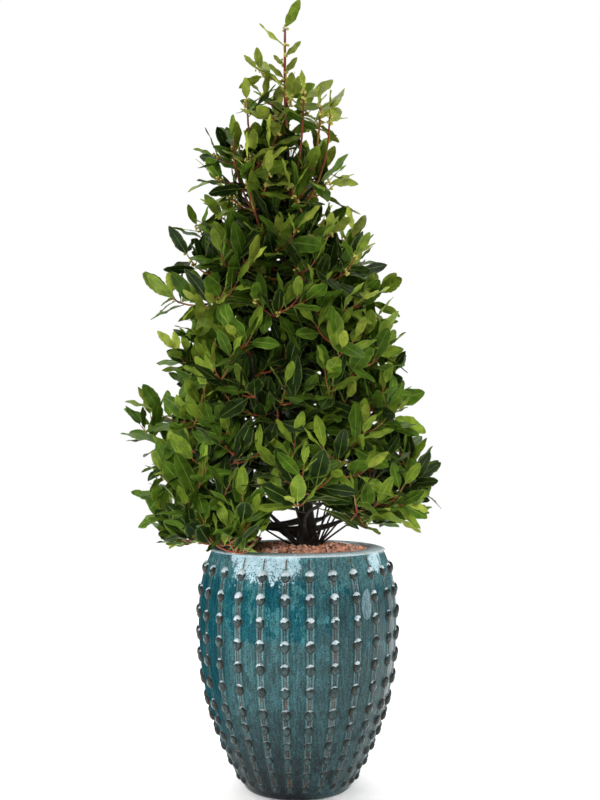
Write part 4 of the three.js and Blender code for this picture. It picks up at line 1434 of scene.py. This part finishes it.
class Growth:
    """Grows the crown: curves of wood, and leaves and buds on the shoots."""

    def __init__(self, settings):
        self.settings = settings
        self.draw = stream(settings.seed)
        self.spaces = all_spaces()
        self.limbs, self.limb_radii = limb_samples(self.spaces)
        self.wood = []
        self.shoots = []
        self.leaves = []
        self.buds = []

    def between(self, low, high):
        return lerp(low, high, self.draw())

    def clear(self, point, thick):
        """Whether a point, with some thickness round it, is clear of the trunk and boughs."""
        away = np.linalg.norm(self.limbs - point, axis=1)
        return bool(np.all(away > self.limb_radii + thick + LIMB_MARGIN))

    def grow(self):
        for space in self.spaces:
            self.grow_mass(space)

    def grow_mass(self, space):
        """One mass: its stem and branches, then its outer and inner shoots and the ones that stand out."""
        stem, joints = self.grow_stem(space)
        self.grow_branches(space, joints)
        spacing = self.settings.shoot_spacing
        sparse = SPARSE.get(space.name.split("_")[0], 1.0)
        outer = self.tile_ends(space, spacing * sparse, OUTER_DEPTHS, hollowed=True)
        inner = self.tile_ends(space, spacing * INNER_SPACING * sparse, INNER_DEPTHS)
        ends = [(tip, 0, OUTER_REACH) for tip in outer] + [(tip, 1, 0) for tip in inner]
        for tip, depth, reach in ends + self.long_ends(space):
            self.grow_shoot(tip, depth, reach, joints)
        self.upright_shoots(space)
        if space.foot is None:
            self.dress_leader(stem)

    def grow_stem(self, space):
        """The stem that runs on into a mass, and the places that its branches and shoots leave."""
        if space.foot is None:
            start = trunk_point(1.0)
            along = unit(trunk_point(1.0) - trunk_point(0.98))
            hub = np.array((start[0] - 2, start[1], LEADER_TIP))
        else:
            curve = bough_bend(space)
            start = curve[2]
            along = bend_heading(*curve, 1.0)
            hub_radius = space.outside_at(0.5)[0] * STEM_REACH
            hub = crown_point(space.azimuth, hub_radius, space.height_in(hub_radius, 0.52))
        stem = (start, start + along * np.linalg.norm(hub - start) * 0.5, hub)
        joints = [bend(*stem, t) for t in STEM_JOINTS]
        if space.foot is None:
            self.shoots.append((stem, LEADER_STEM_RADIUS, LEADER_STEM_TIP_RADIUS, 0))
        else:
            self.wood.append((stem, BOUGH_TIP_RADIUS - 0.4, STEM_TIP_RADIUS))
            joints += [bend(*curve, t) for t in BOUGH_JOINTS]
            joints += self.basal_joints(space)
        return stem, joints

    def grow_branches(self, space, joints):
        """Branches to the inside of a mass, which add the places on them to its joints."""
        for tip in self.tile_ends(space, BRANCH_SPACING, BRANCH_DEPTHS):
            origin = min(joints, key=lambda p: self.effort(p, tip))
            branch = shoot_bend(origin, tip)
            if all(self.clear(bend(*branch, t), BRANCH_RADIUS) for t in BRANCH_TESTS):
                self.wood.append((branch, BRANCH_RADIUS, BRANCH_TIP_RADIUS))
                joints += [bend(*branch, t) for t in BRANCH_JOINTS]

    def basal_joints(self, space):
        """Thin stems from the trunk's foot into the skirt, and the places that shoots leave on them."""
        joints = []
        if not space.name.startswith("skirt"):
            return joints
        for i in range(BASAL_STEMS):
            azimuth = space.azimuth + space.half_width * (i - 1) * self.between(0.2, 0.9)
            turn = np.array((math.sin(azimuth), -math.cos(azimuth), 0))
            foot = trunk_point(0.004) + turn * self.between(*BASAL_FEET)
            heading = azimuth + self.between(-0.3, 0.3)
            end = crown_point(heading, *(self.between(*limits) for limits in BASAL_ENDS))
            stem = (foot, lerp(foot, end, 0.45) + np.array((0, 0, self.between(-25, 30))), end)
            if all(self.clear(bend(*stem, t), BASAL_RADIUS) for t in BASAL_TESTS):
                self.wood.append((stem, BASAL_RADIUS, BASAL_TIP_RADIUS))
                joints += [bend(*stem, t) for t in BASAL_JOINTS]
        return joints

    def effort(self, origin, tip):
        """How unwillingly a shoot grows from a place to its tip: it would rather be short, and rise."""
        away = math.hypot(tip[0] - origin[0], tip[1] - origin[1])
        lack = max(0.0, origin[2] + RISE_WISHED * away - tip[2])
        return np.linalg.norm(tip - origin) + RISE_WEIGHT * lack

    def tile_ends(self, space, spacing, depths, hollowed=False):
        """Where shoots end: one in each tile of a shell of the space, between two depths from the outside."""
        low, high = space.outside_at(0.0)[1], space.outside_at(1.0)[1]
        rows = max(1, round((high - low) * MM / spacing))
        ends = []
        for row in range(rows):
            outside, _ = space.outside_at((row + 0.5) / rows)
            arc = 2 * space.half_width * outside * MM
            columns = max(1, round(arc / spacing))
            for column in range(columns):
                turn = ((column + self.between(0.2, 0.8)) / columns) * 2 - 1
                z = space.outside_at((row + self.between(0.1, 0.9)) / rows)[1]
                azimuth = space.azimuth + turn * space.half_width
                radius = outer_radius(azimuth, z)
                depth = self.between(*depths)
                if hollowed:
                    depth += hollow_at(crown_point(azimuth, radius, z))
                at = max(radius - depth, min(24.0, radius * 0.3))
                end = crown_point(azimuth, at, z - (radius - at) * 0.35)
                if within_reach(end, 0) and self.clear(end, 12):
                    ends.append(end)
        return ends

    def holds(self, space, heading, distance, height):
        """Whether a place of the crown belongs to a space."""
        turn = math.radians(heading) - space.azimuth
        away = abs(math.atan2(math.sin(turn), math.cos(turn)))
        low, high = space.edge(space.low, distance), space.edge(space.high, distance)
        return away < space.half_width and low < height < high

    def long_ends(self, space):
        """The shoots that stand out of the crown, where they belong to this space."""
        inwards, down = LONG_SHOOT_LEAF
        return [
            (crown_point(math.radians(heading), distance - inwards, height - down), 0, LONG_SHOOT_REACH)
            for heading, height, distance in LONG_SHOOTS
            if self.holds(space, heading, distance, height)
        ]

    def upright_shoots(self, space):
        """Bare stems that rise steeply near the top and carry leaves at their tips alone."""
        for heading, distance, height in UPRIGHT_SHOOTS:
            if self.holds(space, heading, distance, height):
                tip = crown_point(math.radians(heading), distance, height)
                origin = trunk_point((height - UPRIGHT_RISE - TRUNK_FOOT) / (TRUNK_TOP - TRUNK_FOOT))
                shoot = (origin, tip - np.array((0, 0, UPRIGHT_STRAIGHT)), tip)
                foot_more, tip_more = UPRIGHT_THICKER
                self.shoots.append((shoot, TWIG_RADIUS + foot_more, TWIG_TIP_RADIUS + tip_more, 0))
                self.dress(shoot, UPRIGHT_LEAVES, 0, UPRIGHT_REACH, UPRIGHT_BARE)

    def grow_shoot(self, tip, depth, reach, joints):
        """One shoot from the nearest wood that it reaches freely, with its leaves and buds."""
        for origin in sorted(joints, key=lambda p: self.effort(p, tip))[:5]:
            span = np.linalg.norm(tip - origin)
            if span < SHORTEST_SHOOT:
                continue
            shoot = shoot_bend(origin, tip)
            if all(self.clear(bend(*shoot, t), TWIG_RADIUS) for t in SHOOT_TESTS):
                joints.append(bend(*shoot, 0.5))
                self.shoots.append((shoot, TWIG_RADIUS, TWIG_TIP_RADIUS, depth))
                count = int(min(MOST_LEAVES, 3 + span / LEAF_STEP))
                self.dress(shoot, count, depth, reach, max(0.12, 1 - BARE_END / span))
                return

    def dress_leader(self, stem):
        """The leader's few leaves, with buds beside them."""
        for height, heading, pitch, size in LEADER_LEAVES:
            root = bend(*stem, limited((height - stem[0][2]) / (stem[2][2] - stem[0][2])))
            turn, rise = math.radians(heading), math.radians(pitch)
            way = (math.sin(turn) * math.cos(rise), -math.cos(turn) * math.cos(rise), math.sin(rise))
            leaf = self.leaf(root, np.array(way), size, LEADER_STALK, 0, 0.9, 0.4)
            leaf["side"] = unit(np.cross(way, np.array(LEADER_FACES.get(heading, LEADER_FACE))))
            leaf["shape"] = {**leaf["shape"], **LEADER_SHAPE}
            self.leaves.append(leaf)
            self.add_buds(root, np.array((0, 0, 1.0)))

    def dress(self, shoot, count, depth, reach, first):
        """Leaves in a spiral up a shoot, smaller and younger to its tip, with buds in some of their axils."""
        phase = self.between(0, 360)
        age = self.draw()
        for i in range(count):
            share = i / max(1, count - 1)
            last = i == count - 1
            t = min(0.995, lerp(first, 1.0, share**0.85))
            root = bend(*shoot, t)
            along = bend_heading(*shoot, t)
            grown = lerp(*LEAF_SIZES, share**1.6) * self.between(*LEAF_SIZE_CHANCE)
            size = self.settings.leaf_length / MM * grown * self.size_at(root[2])
            for attempt in range(LEAF_ATTEMPTS):
                turn = math.radians(phase + GOLDEN_ANGLE * (i + 3 * attempt))
                if last:
                    pitch = LAST_LEAF_PITCH + LAST_LEAF_PITCH_STEP * attempt
                else:
                    pitch = lerp(*LEAF_PITCHES, share) * self.between(*LEAF_PITCH_CHANCE)
                direction = self.leaf_direction(along, turn, math.radians(pitch))
                direction = unit(direction + np.array((0, 0, self.between(*LEAF_LIFT_CHANCE))))
                stalk = STALK_LEAST + STALK_SHARE * size
                tip = root + direction * (size + stalk)
                middle = root + direction * size * 0.5
                if within_reach(tip, reach) and self.clear(tip, 2) and self.clear(middle, 6):
                    self.leaves.append(self.leaf(root, direction, size, stalk, depth, share, age))
                    break
            chance = lerp(*BUD_CHANCE, (root[2] - BUDS_FROM) / BUDS_OVER)
            if depth == 0 and share > 0.3 and self.draw() < chance:
                self.add_buds(root, along)

    def size_at(self, z):
        """Leaves near the top are smaller."""
        return lerp(1.0, SMALL_SIZE, limited((z - SMALL_FROM) / SMALL_OVER))

    def leaf_direction(self, along, turn, pitch):
        """The way a leaf leaves a shoot, by its turn round the shoot and its pitch from it."""
        side = np.array((-along[1], along[0], 0.0))
        side = unit(side) if np.linalg.norm(side) > 1e-3 else np.array((1.0, 0, 0))
        side = turned_about(side, along, turn)
        return unit(along * math.cos(pitch) + side * math.sin(pitch))

    def leaf(self, root, direction, size, stalk, depth, share, age):
        """One leaf: its place and ways, how young and how lit it looks, and the numbers of its shape."""
        outwards = unit(np.array((root[0] - CROWN_AXIS[0], root[1] - CROWN_AXIS[1], 0.0)))
        light = turned_about(np.array((0, 0, 1.0)) + outwards * 0.5, direction, self.between(-0.8, 0.8))
        side = unit(np.cross(direction, light))
        # Inner shoots' leaves are darker: painted shade.
        youth = 0.62 * share + 0.38 * age + self.between(-0.16, 0.16) - 0.55 * depth
        # Brighter by height, partly younger growth and partly painted light; darker in the crown's hollows:
        # painted shade.
        youth += np.interp(root[2], *LIGHT_AND_YOUTH_BY_HEIGHT) - hollow_at(root) / 85
        return {
            "root": root, "along": direction, "side": side, "size": size, "stalk": stalk,
            "width": self.settings.leaf_width, "youth": youth, "shape": {name: self.draw() for name in SHAPE},
        }

    def add_buds(self, root, along):
        """A small cluster of round buds beside a leaf's root."""
        for _ in range(3 + int(self.draw() * 4)):
            way = unit(np.array([self.between(-1, 1) for _ in range(3)]) + along * 0.5)
            self.buds.append((root + way * self.between(3.5, 8.0), self.between(0.75, 1.15)))


# ---- Leaves, twigs and buds ----


def leaf_template():
    """Faces of one leaf: two strips over, two under, sharing the margins, drawn to its base and tip."""
    rows = len(LEAF_OUTLINE)
    width = len(ACROSS) + 1
    base, tip = rows * width, rows * width + 1
    last = len(ACROSS) - 1
    under = [0, last + 1, last]

    def at(i, k):
        return i * width + k

    quads, triangles, quad_under, triangle_under = [], [], [], []
    for i in range(rows - 1):
        for k in range(last):
            quads.append((at(i, k), at(i, k + 1), at(i + 1, k + 1), at(i + 1, k)))
            quad_under.append(0)
        for a, b in zip(under, under[1:]):
            quads.append((at(i, b), at(i, a), at(i + 1, a), at(i + 1, b)))
            quad_under.append(1)
    for k in range(last):
        triangles.append((base, at(0, k + 1), at(0, k)))
        triangles.append((tip, at(rows - 1, k), at(rows - 1, k + 1)))
        triangle_under += [0, 0]
    for a, b in zip(under, under[1:]):
        triangles.append((base, at(0, a), at(0, b)))
        triangles.append((tip, at(rows - 1, b), at(rows - 1, a)))
        triangle_under += [1, 1]
    return np.array(quads), np.array(triangles), quad_under, triangle_under


class Blades:
    """Leaves as arrays, and lines of points on the upper sides of their blades."""

    def __init__(self, leaves, thickness):
        self.thickness = thickness
        self.root, self.along, self.side, size, stalk, width, self.youth = (
            np.array([leaf[key] for leaf in leaves])
            for key in ("root", "along", "side", "size", "stalk", "width", "youth")
        )
        breadth, teeth, fold, self.phase, droop, twist = (
            np.array([leaf["shape"][name] for leaf in leaves]) for name in SHAPE
        )
        self.size = size
        self.half = size * width * lerp(*BLADE_BREADTH, breadth) / 2
        self.teeth = lerp(*BLADE_TEETH, teeth)
        self.fold = lerp(*BLADE_FOLD, fold)
        self.droop = lerp(*BLADE_DROOP, droop)
        self.twist = lerp(*BLADE_TWIST, twist)
        self.upper = np.cross(self.side, self.along)
        self.foot = self.root + self.along * stalk[:, None]

    def line(self, share, outline=0.0, across_share=0.0, tooth=0):
        """A point of each blade, at a share of its length and of its half width there."""
        teeth = 1 + tooth * self.teeth * abs(across_share)
        across = self.half * outline * across_share * teeth
        fold = self.fold * np.abs(across) - 0.25 * across**2 / np.maximum(self.half, 1)
        swell = np.sin(share * 13 + self.phase * 6.3 + np.sign(across_share))
        wave = self.half * BLADE_WAVE * across_share**2 * swell
        lift = fold + wave * np.sin(math.pi * share) - self.size * self.droop * share**2
        twist = self.twist * share
        sideways = across * np.cos(twist)
        upwards = lift + across * np.sin(twist)
        forwards = self.foot + self.along * (self.size * share)[:, None]
        return forwards + self.side * sideways[:, None] + self.upper * upwards[:, None]


def leaf_mesh(name, blades):
    """All the blades of one tint as one mesh: upper sides in the first slot, undersides in the second."""
    quads, triangles, quad_under, triangle_under = leaf_template()
    drop = blades.upper * blades.thickness
    rows = []
    for i, (share, outline) in enumerate(LEAF_OUTLINE):
        rows += [blades.line(share, outline, across, 1 - 2 * (i % 2)) for across in ACROSS]
        rows.append(blades.line(share) - drop)
    rows += [blades.line(0.0) - drop / 2, blades.line(1.0)]
    points = np.stack(rows, axis=1)
    count, each = points.shape[:2]
    faces = [repeated(quads, count, each), repeated(triangles, count, each)]
    slots = np.concatenate([np.tile(quad_under, count), np.tile(triangle_under, count)])
    mesh = mesh_of(name, points.reshape(-1, 3), faces, slots)
    mesh.set_sharp_from_angle(angle=math.radians(LEAF_CREASE))
    reach = ([abs(a) for a in ACROSS] + [0.5]) * len(LEAF_OUTLINE) + [1.0, 1.0]
    keep(mesh, "reach", np.tile(reach, count))
    return mesh


def midrib_mesh(blades):
    """Stalks that run on as midribs, as thin four-sided rods standing a little proud of both sides."""
    last = MIDRIB_PLACES[-1]
    middle = blades.upper * blades.thickness / 2
    rings = [(blades.root, 1.0)]
    rings += [(blades.line(place) - middle, lerp(1.05, 0.34, place / last)) for place in MIDRIB_PLACES]
    rows = []
    for centre, share in rings:
        thick = blades.size / 70 * share
        for across, rise in ((1, 0), (0, 1), (-1, 0), (0, -1)):
            sideways = blades.side * (across * thick)[:, None]
            rows.append(centre + sideways + blades.upper * (rise * (thick * 0.55 + 0.45))[:, None])
    points = np.stack(rows, axis=1)
    count, each = points.shape[:2]
    faces = [repeated(group[:, ::-1], count, each) for group in tube_faces(len(rings), 4)]
    mesh = mesh_of("midribs", points.reshape(-1, 3), faces)
    keep(mesh, "youth", np.repeat(blades.youth, each))
    return mesh


def bud_mesh(buds, radius):
    """Round buds, each a small ball of few faces."""
    ball = bmesh.new()
    bmesh.ops.create_uvsphere(ball, u_segments=8, v_segments=5, radius=1.0)
    shape = np.array([v.co for v in ball.verts])
    faces = [[v.index for v in f.verts] for f in ball.faces]
    groups = [np.array([f for f in faces if len(f) == corners]) for corners in (3, 4)]
    ball.free()
    heap = Heap()
    for place, share in buds:
        heap.add(place + shape * (radius / MM * share), *groups)
    return heap.mesh("buds")


def limb_mesh(spaces, relief):
    """The trunk and boughs as one mesh, with furrowed bark."""
    heap = Heap()
    places = np.linspace(0, 1, TRUNK_RINGS) ** 1.5
    angles = [2 * math.pi * k / TRUNK_SIDES for k in range(TRUNK_SIDES)]
    radii = [[trunk_radius(t, angle) for angle in angles] for t in places]
    heap.tube(np.array([trunk_point(t) for t in places]), radii, TRUNK_SIDES, relief)
    shares = np.linspace(0, 1, BOUGH_RINGS)
    swell = 1 + 0.7 * np.exp(-shares * 14)
    for space in spaces:
        if space.foot is not None:
            radii = lerp(BOUGH_RADIUS, BOUGH_TIP_RADIUS, shares) * swell
            heap.tube(bend(*bough_bend(space), shares), radii, BOUGH_SIDES, 0.6 * relief)
    return heap.mesh("trunk_and_boughs")


# ---- Operators ----


class BuildPlanter(bpy.types.Operator):
    """Make the planter's wall, lip, ribs and grooves"""

    bl_idname = "bay.planter"
    bl_label = "Planter"

    def execute(self, context):
        settings = context.scene.bay_planter
        finished("planter_wall", planter_wall(settings), [glaze_material(settings)], ["planter"])
        return {"FINISHED"}


class BuildKnobs(bpy.types.Operator):
    """Set the columns of knobs on the planter's wall"""

    bl_idname = "bay.knobs"
    bl_label = "Knobs"

    def execute(self, context):
        settings = context.scene.bay_planter
        material = knob_material(settings)
        height = settings.knob_height + KNOB_SUNK * MM
        inputs = {"Radius": settings.knob_radius, "Height": height, "Tall": KNOB_TALL, "Finish": material}
        mesh = evaluated("planter_knobs", knob_points(settings), knob_tree(), inputs)
        finished("planter_knobs", mesh, [material])
        return {"FINISHED"}


class BuildGranules(bpy.types.Operator):
    """Scatter the clay granules over the fill"""

    bl_idname = "bay.granules"
    bl_label = "Granules"

    def execute(self, context):
        settings = context.scene.bay_granules
        material = clay_material(settings)
        inputs = {"Size": settings.size, "Spacing": settings.spacing, "Seed": settings.seed}
        inputs["Finish"] = material
        mesh = evaluated("clay_granules", granule_bed(settings.size), granule_tree(), inputs)
        finished("clay_granules", mesh, [material])
        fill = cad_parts["granule_fill"]
        fill.data.materials.clear()
        fill.data.materials.append(material)
        return {"FINISHED"}


class BuildLimbs(bpy.types.Operator):
    """Make the trunk and boughs with their bark"""

    bl_idname = "bay.limbs"
    bl_label = "Trunk and boughs"

    def execute(self, context):
        settings = context.scene.bay_bark
        mesh = limb_mesh(all_spaces(), settings.relief / MM)
        finished("trunk_and_boughs", mesh, [bark_material(settings)], LIMB_NODES)
        return {"FINISHED"}


class BuildFoliage(bpy.types.Operator):
    """Grow the twigs, leaves, midribs and buds on from the boughs"""

    bl_idname = "bay.foliage"
    bl_label = "Foliage"

    def execute(self, context):
        settings = context.scene.bay_foliage
        growth = Growth(settings)
        growth.grow()
        self.build_wood(context, growth)
        self.build_leaves(settings, growth)
        buds = bud_mesh(growth.buds, settings.bud_radius)
        finished("buds", buds, [bud_material(settings)])
        return {"FINISHED"}

    def build_wood(self, context, growth):
        old, young = Heap(), Heap()
        for curve, start, end in growth.wood:
            old.rod(curve, start, end, INNER_TWIG_STEPS, INNER_TWIG_SIDES)
        for curve, start, end, depth in growth.shoots:
            (young if depth == 0 else old).rod(curve, start, end, YOUNG_TWIG_STEPS, YOUNG_TWIG_SIDES)
        bark, skin = bark_material(context.scene.bay_bark), twig_material(context.scene.bay_foliage)
        finished("inner_twigs", old.mesh("inner_twigs"), [bark])
        finished("young_twigs", young.mesh("young_twigs"), [skin])

    def build_leaves(self, settings, growth):
        thickness = settings.leaf_thickness / MM
        for name, low, high in LEAF_TINTS:
            leaves = [leaf for leaf in growth.leaves if low <= leaf["youth"] < high]
            tint = getattr(settings, name)
            over = leaf_material(f"leaf_{name}", tint)
            under = leaf_material(f"leaf_{name}_under", tint, under=True)
            mesh = leaf_mesh(f"leaves_{name}", Blades(leaves, thickness))
            finished(f"leaves_{name}", mesh, [over, under], FOLIAGE_NODES)
        ribs = midrib_mesh(Blades(growth.leaves, thickness))
        finished("midribs", ribs, [midrib_material(settings)])


class BuildStage(bpy.types.Operator):
    """Make the pale floor, the soft light and the camera"""

    bl_idname = "bay.stage"
    bl_label = "Stage"

    def execute(self, context):
        settings = context.scene.bay_stage
        self.add_floor(settings)
        self.add_sky(settings.sky_light)
        for name, lamp in LAMPS.items():
            self.add_lamp(name, *lamp)
        self.add_surround(context.scene, settings)
        self.add_camera(context.scene)
        return {"FINISHED"}

    def add_floor(self, settings):
        half = FLOOR_HALF
        mesh = bpy.data.meshes.new("floor")
        corners = [(-half, -half, 0), (half, -half, 0), (half, half, 0), (-half, half, 0)]
        mesh.from_pydata(corners, [], [(0, 1, 2, 3)])
        floor = self.placed("floor", mesh, (0, 0, -FLOOR_DROP))
        material, _, shader = new_material("pale_floor")
        shader.inputs["Base Color"].default_value = (*settings.floor, 1)
        shader.inputs["Roughness"].default_value = 0.7
        shader.inputs["Emission Color"].default_value = (1, 1, 1, 1)
        shader.inputs["Emission Strength"].default_value = FLOOR_GLOW
        mesh.materials.append(material)

    def add_sky(self, strength):
        light = bpy.data.lights.new("soft_sky", "SUN")
        light.angle = math.radians(SKY_SPREAD)
        light.energy = strength
        sky = self.placed("soft_sky", light, (0, 0, 0))
        sky.rotation_euler = Vector(SKY_WAY).to_track_quat("Z", "Y").to_euler()

    def add_lamp(self, name, place, size, power, aim, spread):
        light = bpy.data.lights.new(name, "AREA")
        light.shape = "SQUARE"
        light.size = size
        light.energy = power
        light.spread = math.radians(spread)
        lamp = self.placed(name, light, place)
        lamp.rotation_euler = (Vector((0, 0, aim)) - Vector(place)).to_track_quat("-Z", "Y").to_euler()
        lamp.visible_glossy = name == MIRRORED_LAMP

    def add_surround(self, scene, settings):
        """A white backdrop for the camera, and a weaker light from all round for the plant."""
        world = bpy.data.worlds.new("pale_surround")
        world.use_nodes = True
        tree = Tree(world.node_tree)
        seen = world.node_tree.nodes["Background"]
        seen.inputs["Color"].default_value = (1, 1, 1, 1)
        seen.inputs["Strength"].default_value = settings.backdrop
        around = tree.node("ShaderNodeBackground", {"Strength": settings.surround}).outputs[0]
        by_camera = tree.node("ShaderNodeLightPath").outputs["Is Camera Ray"]
        shared = tree.node("ShaderNodeMixShader", {"Fac": by_camera, 1: around, 2: seen.outputs[0]})
        tree.link(shared.outputs[0], world.node_tree.nodes["World Output"].inputs["Surface"])
        scene.world = world
        scene.view_settings.view_transform = "Standard"

    def add_camera(self, scene):
        lens = bpy.data.cameras.new("viewpoint")
        lens.lens = FOCAL_LENGTH
        lens.shift_x, lens.shift_y = VIEW_SHIFT
        camera = self.placed("viewpoint", lens, EYE)
        camera.rotation_euler = (math.pi / 2, 0, 0)
        scene.camera = camera

    def placed(self, name, data, place):
        made = bpy.data.objects.new(name, data)
        made.location = place
        bpy.context.scene.collection.objects.link(made)
        return made


OPERATORS = [BuildPlanter, BuildKnobs, BuildGranules, BuildLimbs, BuildFoliage, BuildStage]


class BayPanel(bpy.types.Panel):
    """The builder's operators and settings in the sidebar"""

    bl_idname = "VIEW3D_PT_bay"
    bl_label = "Bay laurel"
    bl_space_type = "VIEW_3D"
    bl_region_type = "UI"
    bl_category = "Bay laurel"

    def draw(self, context):
        for operator in OPERATORS:
            self.layout.operator(operator.bl_idname)
        for group in SETTINGS:
            box = self.layout.box()
            settings = getattr(context.scene, group)
            for name in settings.__annotations__:
                box.prop(settings, name)


SETTINGS = {
    "bay_planter": PlanterSettings,
    "bay_granules": GranuleSettings,
    "bay_foliage": FoliageSettings,
    "bay_bark": BarkSettings,
    "bay_stage": StageSettings,
}


def register():
    for cls in [*SETTINGS.values(), *OPERATORS, BayPanel]:
        bpy.utils.register_class(cls)
    for name, group in SETTINGS.items():
        setattr(bpy.types.Scene, name, bpy.props.PointerProperty(type=group))


def unregister():
    for name in SETTINGS:
        delattr(bpy.types.Scene, name)
    for cls in [BayPanel, *reversed(OPERATORS), *reversed(SETTINGS.values())]:
        bpy.utils.unregister_class(cls)


def main():
    register()
    for operator in OPERATORS:
        group, name = operator.bl_idname.split(".")
        getattr(getattr(bpy.ops, group), name)()


if __name__ == "__main__":
    main()
